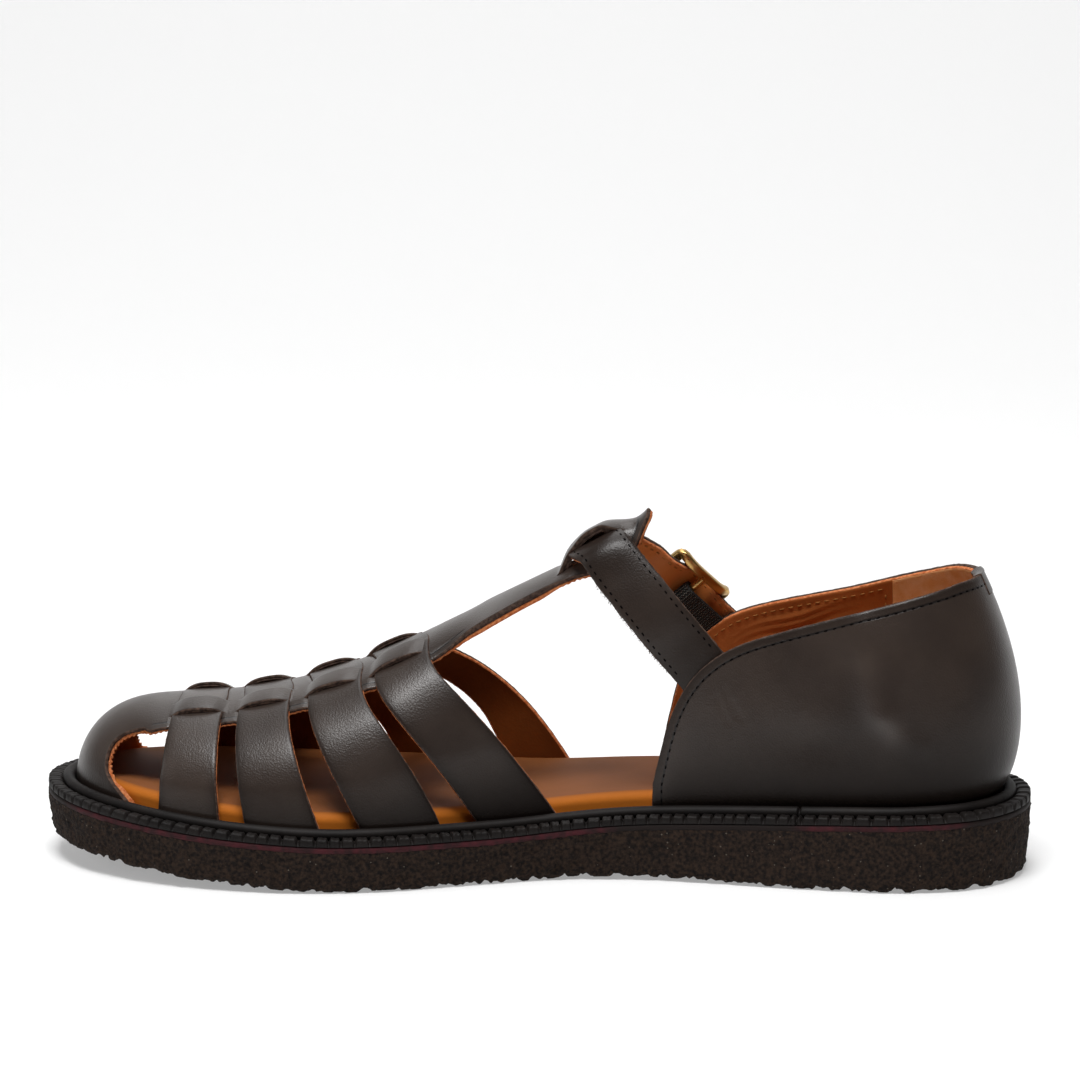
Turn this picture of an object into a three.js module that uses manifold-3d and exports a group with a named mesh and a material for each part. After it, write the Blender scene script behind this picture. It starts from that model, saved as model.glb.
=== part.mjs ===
// A fisherman sandal for the right foot: woven leather upper, storm welt and crepe sole.
// Millimetres. +X points to the toe, +Y to the inner (medial) side of the foot, +Z up.
// Lengths along the shoe are measured from the back edge of the sole, and the finished
// group is moved so that the origin lies on the floor at the middle of the sole.
import * as THREE from "three";
import { mergeVertices } from "three/addons/utils/BufferGeometryUtils.js";
import Module from "manifold-3d";

const wasm = await Module();
wasm.setup();

// Driving dimensions

const SOLE_LENGTH = 268; // back edge to toe, about a women's size 38
const GAP = 0.3; // between neighbouring pieces
const WELT_REACH = 7.5; // welt edge beyond the foot of the upper
const MIDSOLE_THICK = 0.9;
const MIDSOLE_INSET = 0.2;
const INSOLE_THICK = 6.7; // leather footbed on its filler
const WALL = 2; // leather of the upper
const STRAP_LIFT = 0.6; // a strap stands this far over the spine's wings
const BAND_LIFT = 2.2; // a spine band arches this far over a strap
const TOE_CENTRE = 236; // the toe cap's ribs fan out from here
const MEDIAL_FULLNESS = 2.3; // exponents of the rounded cross-section
const LATERAL_FULLNESS = 2.1;
const WELT_PITCH = 3.8; // ribs wheeled into the welt
const RIB_DEPTH = 1.2;
const BEAD_TOP = 3.9; // the welt's bead, above the seat
const ANKLE_WIDTH = 14.4;
const ANKLE_THICK = 2.2;

// Foot of the upper, where it meets the welt: half-widths either side of the axis, toe to heel.
const FEATHER = [
  { x: 260.5, medial: 0, lateral: 0 },
  { x: 257.5, medial: 12, lateral: 11 },
  { x: 249, medial: 23, lateral: 21.5 },
  { x: 236, medial: 31.5, lateral: 30 },
  { x: 220, medial: 37, lateral: 36 },
  { x: 200, medial: 39.5, lateral: 40.5 },
  { x: 176, medial: 37, lateral: 42 },
  { x: 150, medial: 27.5, lateral: 39.5 },
  { x: 126, medial: 19.5, lateral: 35.5 },
  { x: 102, medial: 18, lateral: 31.5 },
  { x: 78, medial: 21, lateral: 28.5 },
  { x: 54, medial: 24.5, lateral: 27 },
  { x: 34, medial: 25.5, lateral: 26 },
  { x: 19, medial: 21, lateral: 21 },
  { x: 10.5, medial: 12, lateral: 12 },
  { x: 7.5, medial: 0, lateral: 0 },
];

// Side profile of the crepe sole: underside above the floor, and thickness.
const SOLE = [
  { x: 0, bottom: 0, crepe: 17.8 },
  { x: 60, bottom: 0, crepe: 16.2 },
  { x: 105, bottom: 0.7, crepe: 13.1 },
  { x: 140, bottom: 0, crepe: 11.1 },
  { x: 180, bottom: 0, crepe: 11 },
  { x: 210, bottom: 1.3, crepe: 11.1 },
  { x: 240, bottom: 3.8, crepe: 11.1 },
  { x: 268, bottom: 6.4, crepe: 10.8 },
];

// Spine along the top of the foot: height of its outer face, and half-width, from the tip of
// the T-bar forward to the toe cap.
const SPINE = [
  { x: 104, ridge: 96.6, half: 2.5 },
  { x: 106.5, ridge: 93.2, half: 8.2 },
  { x: 111, ridge: 89.6, half: 8.8 },
  { x: 117, ridge: 86.3, half: 8.8 },
  { x: 124, ridge: 82.8, half: 8 },
  { x: 136, ridge: 76.8, half: 8.2 },
  { x: 150, ridge: 69.2, half: 12 },
  { x: 161, ridge: 63, half: 16.5 },
  { x: 178, ridge: 54.8, half: 19.5 },
  { x: 192, ridge: 49.6, half: 20 },
  { x: 205, ridge: 46, half: 20.5 },
  { x: 217, ridge: 44, half: 20.5 },
  { x: 236, ridge: 42.8, half: 20.5 },
];

// Cross straps, front and rear edge at the sole and where they meet the spine.
const STRAPS = [
  { footFront: 232.5, footRear: 215.5, headFront: 231.5, headRear: 219.5 },
  { footFront: 207.5, footRear: 187.5, headFront: 213.5, headRear: 198.5 },
  { footFront: 176.5, footRear: 157, headFront: 195, headRear: 180 },
  { footFront: 146.5, footRear: 126.5, headFront: 178, headRear: 160.5 },
];

// The straps cross the spine a little aslant, and reach its lateral band further forward.
const SLANT = [
  { x: 151, forward: 0 },
  { x: 161, forward: 4 },
  { x: 195, forward: 3 },
  { x: 220, forward: 1.5 },
  { x: 236, forward: 0 },
];
const SLANT_HALF = 9;
const LATERAL_SWEEP = 1.5; // exponent: on the lateral side the straps rise late and lie further back

// The head of the T-bar is slit on both sides, arches over the ankle strap and ends in a tongue.
const T_HEAD = {
  slit: 0.55, // share of the half-width
  slitRear: 109,
  wingRamp: 2.4, // the strips outside the slits come up to the tongue in this length
  front: 127.8,
  frontRamp: 11,
  rear: 103.5,
  rearRamp: 10,
  lift: 5.4,
};

// Quarters, from the back seam forward: height of each side's edge above the floor, how far
// the wall swells out half way up, and how far in from the feather line each edge stands.
const QUARTER = [
  { x: 7.5, medialEdge: 81, lateralEdge: 81, belly: 5.6, medialLean: 6.4, lateralLean: 6.4 },
  { x: 16, medialEdge: 80.4, lateralEdge: 80.4, belly: 5, medialLean: 6, lateralLean: 6 },
  { x: 28, medialEdge: 78.2, lateralEdge: 78.4, belly: 3.8, medialLean: 4.4, lateralLean: 4.4 },
  { x: 49, medialEdge: 72.8, lateralEdge: 73.6, belly: 2.8, medialLean: 3.4, lateralLean: 4 },
  { x: 73, medialEdge: 65.6, lateralEdge: 67.8, belly: 2, medialLean: 1.6, lateralLean: 4.4 },
  { x: 82, medialEdge: 61.6, lateralEdge: 64, belly: 1.6, medialLean: 0.6, lateralLean: 4.8 },
  { x: 88.5, medialEdge: 56.5, lateralEdge: 58.6, belly: 1.3, medialLean: 0, lateralLean: 4.6 },
  { x: 92.5, medialEdge: 51.3, lateralEdge: 53, belly: 1, medialLean: 0, lateralLean: 4 },
  { x: 96, medialEdge: 44.3, lateralEdge: 45, belly: 0.7, medialLean: 0, lateralLean: 2.6 },
  { x: 98.5, medialEdge: 36, lateralEdge: 36, belly: 0.4, medialLean: 0, lateralLean: 1.4 },
  { x: 101, medialEdge: 25, lateralEdge: 25, belly: 0.1, medialLean: 0, lateralLean: 0.4 },
];
const QUARTER_FRONT = 101;
const HEEL_TAB = { width: 14, height: 5, thick: 1.2, over: 0.8 }; // folded over the back seam

// Ankle strap, middle of its inner face, from under the medial quarter over the instep to the
// free end outside the lateral quarter.
const ANKLE = [
  { x: 81.4, y: 17.4, z: 48.4 },
  { x: 88.9, y: 17.5, z: 57.4 },
  { x: 97.9, y: 17.4, z: 67.9 },
  { x: 107.9, y: 14.2, z: 79.2 },
  { x: 113.6, y: 8.6, z: 84.3 },
  { x: 117.4, y: 4, z: 86.4 },
  { x: 118, y: 0, z: 86.6 },
  { x: 113.8, y: -7.5, z: 84.3 },
  { x: 104.6, y: -15.5, z: 77.3 },
  { x: 96.2, y: -21.5, z: 69.7 },
  { x: 87.6, y: -26.2, z: 59.7 },
  { x: 78.6, y: -29, z: 47.7 },
];
const ANKLE_AXIS_HEIGHT = 55; // the strap's outer face looks away from this line
const INSTEP_LEAN = 0.6;
const INSTEP_HALF = 20; // half-width of the foot under the T-bar
const T_BAR_FOOT = { rear: 122, front: 160 }; // where the T-bar widens into the vamp

// Buckle on the lateral side of the ankle strap, a frame with a centre bar
const BUCKLE_AT = 0.773; // share of the strap's length
const BUCKLE_LENGTH = 20.5;
const BUCKLE_INSIDE = 17; // clear width for the strap
const BAR = 2.2;
const END_BAR_RISE = 3.5; // the end bars stand out over the centre bar
const BUCKLE_CORNER = 2.5;
const STRAP_DIP = 1.9; // the strap dips in under the end bars
const PRONG = 1.5;
const PRONG_BEND = 0.6;
const PRONG_TIP = 1.2; // reach beyond the end bar
const ELASTIC_THICK = 1;
const ELASTIC_WIDTH = 7;
const ELASTIC_LENGTH = 17; // from the centre bar into the edge of the lateral quarter

// Small helpers

const clamp = (value, low, high) => Math.min(Math.max(value, low), high);
const mix = (a, b, share) => a + (b - a) * share;
const smooth = (share) => share * share * (3 - 2 * share);
const steps = (count) => Array.from({ length: count + 1 }, (_, i) => i / count);

// Smooth reading of one column of a table whose rows are in order of x.
function column(rows, name) {
  const slope = (i) => {
    const before = rows[Math.max(i - 1, 0)];
    const after = rows[Math.min(i + 1, rows.length - 1)];
    const inside = i > 0 && i < rows.length - 1;
    const turns = (rows[i][name] - before[name]) * (after[name] - rows[i][name]) <= 0;
    return inside && turns ? 0 : (after[name] - before[name]) / (after.x - before.x);
  };
  return (x) => {
    const at = clamp(x, rows[0].x, rows.at(-1).x);
    const i = clamp(rows.findIndex((row) => row.x > at) - 1, 0, rows.length - 2);
    const j = at >= rows.at(-1).x ? rows.length - 2 : i;
    const span = rows[j + 1].x - rows[j].x;
    const s = (at - rows[j].x) / span;
    const rise = smooth(s);
    return mix(rows[j][name], rows[j + 1][name], rise)
      + span * s * (1 - s) * ((1 - s) * slope(j) - s * slope(j + 1));
  };
}

// A closed solid from a triangle soup: equal points are merged and empty triangles dropped.
function solidOf(triangles) {
  const soup = new THREE.BufferGeometry().setFromPoints(triangles.flat());
  const merged = mergeVertices(soup, 1e-3);
  const index = merged.index.array;
  const kept = [];
  for (let i = 0; i < index.length; i += 3) {
    const [a, b, c] = [index[i], index[i + 1], index[i + 2]];
    if (a !== b && b !== c && c !== a) kept.push(a, b, c);
  }
  return new wasm.Manifold(new wasm.Mesh({
    numProp: 3,
    vertProperties: new Float32Array(merged.attributes.position.array),
    triVerts: new Uint32Array(kept),
  }));
}

// A closed three.js shape as a solid.
function solidFrom(geometry) {
  const position = (geometry.index ? geometry.toNonIndexed() : geometry).attributes.position;
  const corner = (i) => new THREE.Vector3().fromBufferAttribute(position, i);
  return solidOf(steps(position.count / 3).slice(0, -1).map((_, i) => (
    [corner(3 * i), corner(3 * i + 1), corner(3 * i + 2)]
  )));
}

function quad(triangles, a, b, c, d) {
  triangles.push([a, b, c], [a, c, d]);
}

// A sheet of leather between two grids of points, outer[row][place] and inner[row][place].
// Seen from outside, rows run to the right and places run up. An open top is one that
// meets the same sheet's other side.
function sheetSolid(outer, inner, openTop = false) {
  const triangles = [];
  const lastRow = outer.length - 1;
  const lastPlace = outer[0].length - 1;
  for (let r = 0; r < lastRow; r++) {
    for (let p = 0; p < lastPlace; p++) {
      quad(triangles, outer[r][p], outer[r + 1][p], outer[r + 1][p + 1], outer[r][p + 1]);
      quad(triangles, inner[r][p], inner[r][p + 1], inner[r + 1][p + 1], inner[r + 1][p]);
    }
    quad(triangles, inner[r][0], inner[r + 1][0], outer[r + 1][0], outer[r][0]);
    if (!openTop) {
      quad(triangles, outer[r][lastPlace], outer[r + 1][lastPlace],
        inner[r + 1][lastPlace], inner[r][lastPlace]);
    }
  }
  for (let p = 0; p < lastPlace; p++) {
    quad(triangles, inner[0][p], outer[0][p], outer[0][p + 1], inner[0][p + 1]);
    quad(triangles, outer[lastRow][p], inner[lastRow][p],
      inner[lastRow][p + 1], outer[lastRow][p + 1]);
  }
  return solidOf(triangles);
}

// A ring swept round the shoe: sections[i] lists the points of the closed section at station i,
// in an order that runs clockwise when seen along the direction of the sweep.
function ringSolid(sections) {
  const triangles = [];
  sections.forEach((section, i) => {
    const next = sections[(i + 1) % sections.length];
    section.forEach((point, k) => {
      const m = (k + 1) % section.length;
      quad(triangles, point, section[m], next[m], next[k]);
    });
  });
  return solidOf(triangles);
}

// The feather line as a closed curve: toe at 0, along the medial side to the heel at 0.5.
const featherCurve = new THREE.CatmullRomCurve3([
  ...FEATHER.map((row) => new THREE.Vector3(row.x, row.medial, 0)),
  ...FEATHER.slice(1, -1).reverse().map((row) => new THREE.Vector3(row.x, -row.lateral, 0)),
], true, "centripetal");

// A point of the feather line, moved outward in plan, and the outward direction there.
function rim(turn, out = 0) {
  const point = featherCurve.getPoint(turn);
  const along = featherCurve.getTangent(turn);
  const away = new THREE.Vector3(along.y, -along.x, 0);
  return { point: point.addScaledVector(away, out), away };
}

// Place on the feather line, 0 to 1, at a length x on one side (medial 1, lateral -1).
function rimTurn(x, side) {
  let near = 0;
  let far = 0.5;
  for (let i = 0; i < 30; i++) {
    const middle = (near + far) / 2;
    const at = featherCurve.getPoint(side > 0 ? middle : (1 - middle) % 1).x;
    if (at > x) near = middle;
    else far = middle;
  }
  return side > 0 ? far : 1 - far;
}

// Levels of the sole

const soleBottom = column(SOLE, "bottom");
const crepe = column(SOLE, "crepe");
const crepeTop = (x) => soleBottom(x) + crepe(x);
const midsoleTop = (x) => crepeTop(x) + GAP + MIDSOLE_THICK;
const seat = (x) => midsoleTop(x) + GAP; // where upper, welt and insole stand

// A plate that fills the outline: levels run from the underside up, each with its distance
// out from the feather line and its height.
const PLATE_STATIONS = 68;

function plateSolid(levels) {
  const triangles = [];
  const rings = levels.map((level) => steps(PLATE_STATIONS).slice(0, -1).map((turn) => {
    const { point } = rim(turn, level.out);
    return point.setZ(level.height(point.x));
  }));
  const at = (ring, i) => ring[(i + PLATE_STATIONS) % PLATE_STATIONS];
  for (let k = 0; k + 1 < rings.length; k++) {
    for (let i = 0; i < PLATE_STATIONS; i++) {
      quad(triangles, at(rings[k], i), at(rings[k], i + 1),
        at(rings[k + 1], i + 1), at(rings[k + 1], i));
    }
  }
  const bottom = rings[0];
  const top = rings.at(-1);
  for (let i = 0; i < PLATE_STATIONS / 2; i++) {
    quad(triangles, at(bottom, i), at(bottom, -i), at(bottom, -i - 1), at(bottom, i + 1));
    quad(triangles, at(top, i), at(top, i + 1), at(top, -i - 1), at(top, -i));
  }
  return solidOf(triangles);
}

// Crepe outsole: its wall leans in a little to a rounded lower edge.
const CREPE_EDGE = [
  { inset: 2.2, rise: 0 },
  { inset: 1.2, rise: 0.7 },
  { inset: 0.7, rise: 3 },
];

function outsole() {
  const edge = CREPE_EDGE.map(({ inset, rise }) => (
    { out: WELT_REACH - inset, height: (x) => soleBottom(x) + rise }
  ));
  return plateSolid([...edge, { out: WELT_REACH, height: crepeTop }]);
}

function midsole() {
  const out = WELT_REACH - MIDSOLE_INSET;
  return plateSolid([
    { out, height: (x) => crepeTop(x) + GAP },
    { out, height: midsoleTop },
  ]);
}

// Storm welt: a flat rim wheeled with ribs, and a round bead against the upper.
function welt() {
  const edge = { rib: 2.5, groove: 2.5 - RIB_DEPTH };
  const root = 3.5; // where the bead rises from the flat rim
  const bead = { middle: 1.9, radius: 1.55, shoulder: 1 };
  const length = featherCurve.getLength() + 2 * Math.PI * WELT_REACH;
  const ribs = Math.round(length / WELT_PITCH);
  const sections = steps(2 * ribs).slice(0, -1).map((share, i) => {
    const turn = featherCurve.getUtoTmapping(share);
    const groove = i % 2 === 1;
    const height = groove ? edge.groove : edge.rib;
    const inset = groove ? 0.6 * RIB_DEPTH : 0;
    return [
      { out: GAP, rise: 0 },
      { out: bead.middle - bead.radius, rise: BEAD_TOP - bead.shoulder },
      { out: bead.middle, rise: BEAD_TOP },
      { out: root, rise: groove ? edge.rib - 0.4 * RIB_DEPTH : edge.rib },
      { out: WELT_REACH - inset, rise: height },
      { out: WELT_REACH, rise: 0 },
    ].map(({ out, rise }) => {
      const { point } = rim(turn, out);
      return point.setZ(seat(point.x) + rise);
    });
  });
  return ringSolid(sections);
}

// The last: outer face of the upper

const slantAt = column(SLANT, "forward");
const slant = (x, y) => slantAt(x) * smooth(clamp(0.5 - y / (2 * SLANT_HALF), 0, 1));

const ridge = column(SPINE, "ridge");
const spineHalf = column(SPINE, "half");
const fullness = (side) => (side > 0 ? MEDIAL_FULLNESS : LATERAL_FULLNESS);

// How far up a rounded section a point lies when it is `reach` (share of the half-width) out.
const riseAt = (reach, side) => (1 - reach ** fullness(side)) ** (1 / fullness(side));

const feet = new Map();
function halfWidth(x, side) {
  const key = `${x.toFixed(3)} ${side}`;
  if (!feet.has(key)) feet.set(key, Math.abs(featherCurve.getPoint(rimTurn(x, side)).y));
  return feet.get(key);
}

// Outer face at length x, `reach` of the half-width out from the ridge.
function lastPoint(x, reach, side) {
  const height = mix(seat(x), ridge(x), riseAt(reach, side));
  return new THREE.Vector3(x, side * reach * halfWidth(x, side), height);
}

// Face of the toe cap on the rib from the toe centre to the feather line at `turn`.
function toePoint(turn, reach) {
  const centre = new THREE.Vector3(TOE_CENTRE, 0, 0);
  const foot = featherCurve.getPoint(turn);
  const side = foot.y >= 0 ? 1 : -1;
  const point = centre.lerp(foot, reach);
  return point.setZ(mix(seat(foot.x), ridge(TOE_CENTRE), riseAt(reach, side)));
}

// Outward directions of a grid of points, from its neighbours.
function gridAway(grid) {
  const near = (list, i) => list[clamp(i, 0, list.length - 1)];
  return grid.map((row, r) => row.map((point, p) => {
    const across = near(grid, r + 1)[p].clone().sub(near(grid, r - 1)[p]);
    const up = near(row, p + 1).clone().sub(near(row, p - 1));
    return across.cross(up).normalize();
  }));
}

// The two faces of a leather sheet: the grid moved out by `lift`, and `thick` under that.
function leather(grid, away, lift, thick, openTop = false) {
  const moved = (by) => grid.map((row, r) => row.map((point, p) => (
    point.clone().addScaledVector(away[r][p], lift(r, p) + by)
  )));
  return sheetSolid(moved(0), moved(-thick), openTop);
}

// Toe cap, spine and T-bar, one sheet. Its rows run round the toe from the lateral edge of the
// T-bar to the medial one, and its places run up from the edge of the sheet to the ridge.
const BAND = { outer: 0.8, inner: 0.44, step: 0.04 }; // shares of the spine's half-width
const BAND_SHARES = [
  1, BAND.outer + BAND.step, BAND.outer, BAND.inner, BAND.inner - BAND.step, 0,
];
const HEAD_SHARES = [
  1, T_HEAD.slit + BAND.step, T_HEAD.slit, (2 / 3) * T_HEAD.slit, (1 / 3) * T_HEAD.slit, 0,
];
const sharesAt = (x) => (x > T_HEAD.front ? BAND_SHARES : HEAD_SHARES);
const TOE_WALL_PLACES = 4;
const TOE_ROWS = 12;
const BOW_RAMP = 3; // a band comes back down in this length

function spineStations() {
  const head = [
    SPINE[0].x, 106, T_HEAD.slitRear, T_HEAD.slitRear + T_HEAD.wingRamp, 114,
    ...[1, 0.65, 0.35, 0.15, 0].map((share) => T_HEAD.front - share * T_HEAD.frontRamp),
  ];
  const tBar = [...head, 134, 143, 151];
  const crossings = STRAPS.flatMap(({ headFront, headRear }) => [
    headRear - BOW_RAMP, headRear, headFront, headFront + BOW_RAMP,
  ]).sort((a, b) => a - b);
  const wanted = [...tBar, ...crossings.filter((x) => x < TOE_CENTRE - 0.4), TOE_CENTRE];
  return wanted.filter((x, i) => i === 0 || x > wanted[i - 1] + 0.4);
}

// How far the spine is raised over the straps, `share` of its half-width out from the ridge.
function spineRise(x, share) {
  const ramp = (from, length) => smooth(clamp(from / length, 0, 1));
  if (x <= T_HEAD.front) {
    const ahead = clamp((T_HEAD.front - x) / T_HEAD.frontRamp, 0, 1);
    const head = T_HEAD.lift * Math.sin(ahead * Math.PI / 2) * ramp(x - T_HEAD.rear, T_HEAD.rearRamp);
    const underStrap = share > T_HEAD.slit ? ramp(x - T_HEAD.slitRear, T_HEAD.wingRamp) : 0;
    return head * (1 - underStrap);
  }
  if (share > BAND.outer || share < BAND.inner) return 0; // these strips lie under the straps
  return BAND_LIFT * Math.max(...STRAPS.map(({ headFront, headRear }) => (
    1 - ramp(Math.max(x - headFront, headRear - x, 0), BOW_RAMP)
  )));
}

// Face of the spine at length x; under the T-bar the foot is rounder than the sole is wide.
function spinePoint(station, out, side) {
  const x = station + slant(station, side * out);
  const share = smooth(clamp((x - T_BAR_FOOT.rear) / (T_BAR_FOOT.front - T_BAR_FOOT.rear), 0, 1));
  const foot = mix(INSTEP_HALF, halfWidth(x, side), share);
  const height = mix(seat(x), ridge(x), riseAt(out / foot, side));
  return new THREE.Vector3(x, side * out, height);
}

function vamp() {
  const wall = steps(TOE_WALL_PLACES).slice(0, -1);
  const fullPlaces = (wing, reachPoint) => [
    ...wall.map((share) => reachPoint(Math.sin(mix(Math.PI / 2, Math.asin(wing), share)))),
    ...BAND_SHARES.map((share) => reachPoint(wing * share)),
  ];
  const half = spineHalf(TOE_CENTRE);
  const along = (side) => spineStations().map((x) => {
    if (x === TOE_CENTRE) {
      const wing = half / halfWidth(x, side);
      return { x, places: fullPlaces(wing, (reach) => lastPoint(x, reach, side)) };
    }
    const upper = sharesAt(x).map((share) => spinePoint(x, share * spineHalf(x), side));
    return { x, places: [...Array(TOE_WALL_PLACES).fill(upper[0]), ...upper] };
  });
  const [lateralEnd, medialEnd] = [rimTurn(TOE_CENTRE, -1) - 1, rimTurn(TOE_CENTRE, 1)];
  const toe = steps(TOE_ROWS).slice(1, -1).map((share) => {
    const turn = (mix(lateralEnd, medialEnd, share) + 1) % 1;
    const foot = rim(turn).point;
    const length = Math.hypot(foot.x - TOE_CENTRE, foot.y);
    return { x: SOLE_LENGTH, places: fullPlaces(half / length, (reach) => toePoint(turn, reach)) };
  });
  const rows = [...along(-1), ...toe, ...along(1).reverse()];

  const grid = rows.map((row) => row.places);
  const away = gridAway(grid);
  const slopeAt = (x) => (ridge(x + 0.5) - ridge(x - 0.5));
  away.forEach((row, r) => {
    const x = Math.min(rows[r].x, TOE_CENTRE - 1);
    row[row.length - 1] = new THREE.Vector3(-slopeAt(x), 0, 1).normalize();
    for (let p = 0; p <= TOE_WALL_PLACES; p++) {
      const collapsed = grid[r][0].distanceTo(grid[r][TOE_WALL_PLACES]) < 1e-6;
      if (collapsed) row[p] = row[TOE_WALL_PLACES + 1];
    }
  });
  const lift = (r, p) => (p < TOE_WALL_PLACES
    ? 0
    : spineRise(rows[r].x, sharesAt(rows[r].x)[p - TOE_WALL_PLACES]));
  return leather(grid, away, lift, WALL, true);
}

// The opening between the toe cap and the first strap, cut from one side. Its outline is drawn
// as seen from that side, in lengths from the back edge of the sole and heights over the floor.
function toeOpening(side) {
  const outline = new THREE.Shape();
  outline.moveTo(226, 8);
  outline.lineTo(241, 8);
  outline.lineTo(241.5, 18.5);
  outline.bezierCurveTo(245, 22.5, 248.2, 27.5, 248, 31);
  outline.bezierCurveTo(247.6, 36, 243, 38, 236.5, 38.2);
  outline.lineTo(226, 38.6);
  const depth = 60;
  const inner = 8;
  const prism = new THREE.ExtrudeGeometry(outline, { depth, bevelEnabled: false, curveSegments: 6 });
  prism.rotateX(Math.PI / 2);
  prism.translate(0, side > 0 ? inner + depth : -inner, 0);
  return solidFrom(prism);
}

// One cross strap from the lateral feather line over the foot to the medial one. Its rows run
// along it, its places across it from the front edge to the rear.
const STRAP_PLACES = 2;
const HEAD_REACH = 0.5; // a strap runs straight across inside this share of the half-width
const FOOT_REACH = 0.94; // and lies flat in the welt outside this one
const STRAP_STEPS = 8;

function strap({ footFront, footRear, headFront, headRear }) {
  const ways = [-1, 1].flatMap((side) => {
    const up = steps(STRAP_STEPS).map((share) => ({ side, reach: Math.cos(share * Math.PI / 2) }));
    return side < 0 ? up : up.reverse().slice(1);
  });
  const grid = ways.map(({ side, reach }) => steps(STRAP_PLACES).map((across) => {
    const risen = Math.min(riseAt(reach, side) / riseAt(HEAD_REACH, side), 1);
    const climb = side > 0 ? risen : risen ** LATERAL_SWEEP;
    const straight = mix(headFront, headRear, across);
    const head = straight + slant(straight, side * reach * halfWidth(straight, side));
    const x = mix(mix(footFront, footRear, across), head, climb);
    return lastPoint(x, reach, side);
  }));
  const away = gridAway(grid);
  const lift = (r) => STRAP_LIFT * smooth(clamp((1 - ways[r].reach) / (1 - FOOT_REACH), 0, 1));
  return leather(grid, away, lift, WALL);
}

// Quarters and heel, one sheet from the medial front edge round the back to the lateral one.
const quarterBelly = column(QUARTER, "belly");
const medialQuarter = { edge: column(QUARTER, "medialEdge"), lean: column(QUARTER, "medialLean") };
const lateralQuarter = { edge: column(QUARTER, "lateralEdge"), lean: column(QUARTER, "lateralLean") };
const quarterSide = (turn) => (turn < 0.5 ? medialQuarter : lateralQuarter);
const QUARTER_PLACES = 7;
const SWELL_LOW = 0.8; // exponents: the wall swells most a little under half way up
const LEAN_LATE = 1.7; // and leans in towards its edge

function quarterPoint(turn, height) {
  const { point, away } = rim(turn);
  const foot = seat(point.x) + BEAD_TOP;
  const { edge, lean } = quarterSide(turn);
  const share = Math.max(height - foot, 0) / (edge(point.x) - foot);
  const low = share ** SWELL_LOW;
  const out = 4 * quarterBelly(point.x) * low * (1 - low) - lean(point.x) * share ** LEAN_LATE;
  return point.addScaledVector(away, out).setZ(height);
}

function quarterTurns() {
  const heelSide = 24;
  const front = steps(12).map((share) => mix(QUARTER_FRONT, heelSide, share ** 1.8));
  const medial = front.map((x) => rimTurn(x, 1));
  const lateral = front.map((x) => rimTurn(x, -1)).reverse();
  const heel = steps(11).slice(1, -1).map((share) => mix(medial.at(-1), lateral[0], share));
  return [...medial, ...heel, ...lateral];
}

// Grown by a margin, the same sheet is what a neighbour is trimmed with.
function quarters(margin = 0) {
  const grid = quarterTurns().map((turn) => {
    const x = rim(turn).point.x;
    const foot = seat(x) + BEAD_TOP;
    const edge = quarterSide(turn).edge(x) + margin;
    const heights = steps(QUARTER_PLACES - 1).map((share) => mix(foot, edge, share));
    return [seat(x), ...heights].map((height) => quarterPoint(turn, height));
  });
  return leather(grid, gridAway(grid), () => margin, WALL + 2 * margin);
}

// Tab folded over the top of the back seam.
function heelTab() {
  const turns = steps(4).map((share) => (
    0.5 + (share - 0.5) * HEEL_TAB.width / featherCurve.getLength()
  ));
  const grid = turns.map((turn) => steps(2).map((share) => (
    quarterPoint(turn, medialQuarter.edge(0) - HEEL_TAB.height * (1 - share) + HEEL_TAB.over)
  )));
  return leather(grid, gridAway(grid), () => HEEL_TAB.thick, WALL + 2 * HEEL_TAB.thick);
}

// Ankle strap

const anklePath = new THREE.CatmullRomCurve3(
  ANKLE.map((row) => new THREE.Vector3(row.x, row.y, row.z)),
  false,
  "centripetal",
);

// Place on the strap's path with the directions along, across (to the toe) and away.
function ankleFrame(share) {
  const point = anklePath.getPointAt(share);
  const along = anklePath.getTangentAt(share);
  const ring = new THREE.Vector2(point.y, point.z - ANKLE_AXIS_HEIGHT).normalize();
  const away = new THREE.Vector3(INSTEP_LEAN * ring.y, ring.x, ring.y);
  away.addScaledVector(along, -away.dot(along)).normalize();
  const across = new THREE.Vector3().crossVectors(away, along);
  return { point, along, across, away };
}

const BAR_LEVEL = -1.5; // centre bar, under the strap's own path
const STRAP_OVER_BAR = BAR_LEVEL + BAR / 2 + 2 * GAP + ELASTIC_THICK;

// The strap bows out over the buckle's centre bar and dips under its end bars, on both sides
// of the centre bar alike.
const BOW_CREST = 1; // the crest of the bow is flat this far
const BOW_END = BUCKLE_LENGTH / 2 - 1.4; // and is back down just inside the end bars
const DIP_FADE = 6; // past the end bars the dip runs out in this length

function ankleRise(share) {
  const from = Math.abs(share - BUCKLE_AT) * anklePath.getLength();
  const fall = (start, end) => 1 - smooth(clamp((from - start) / (end - start), 0, 1));
  const dip = STRAP_DIP * fall(BUCKLE_LENGTH / 2, BUCKLE_LENGTH / 2 + DIP_FADE);
  return (STRAP_OVER_BAR + dip) * fall(BOW_CREST, BOW_END) - dip;
}

const ANKLE_STEPS = 36;

function ankleStrap() {
  const rows = steps(ANKLE_STEPS).map((share) => ({ ...ankleFrame(share), rise: ankleRise(share) }));
  const face = (level) => rows.map(({ point, across, away, rise }) => steps(2).map((side) => (
    point.clone()
      .addScaledVector(across, (side - 0.5) * ANKLE_WIDTH)
      .addScaledVector(away, rise + level)
  )));
  return sheetSolid(face(ANKLE_THICK), face(0));
}

// Buckle

const buckle = ankleFrame(BUCKLE_AT);

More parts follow.
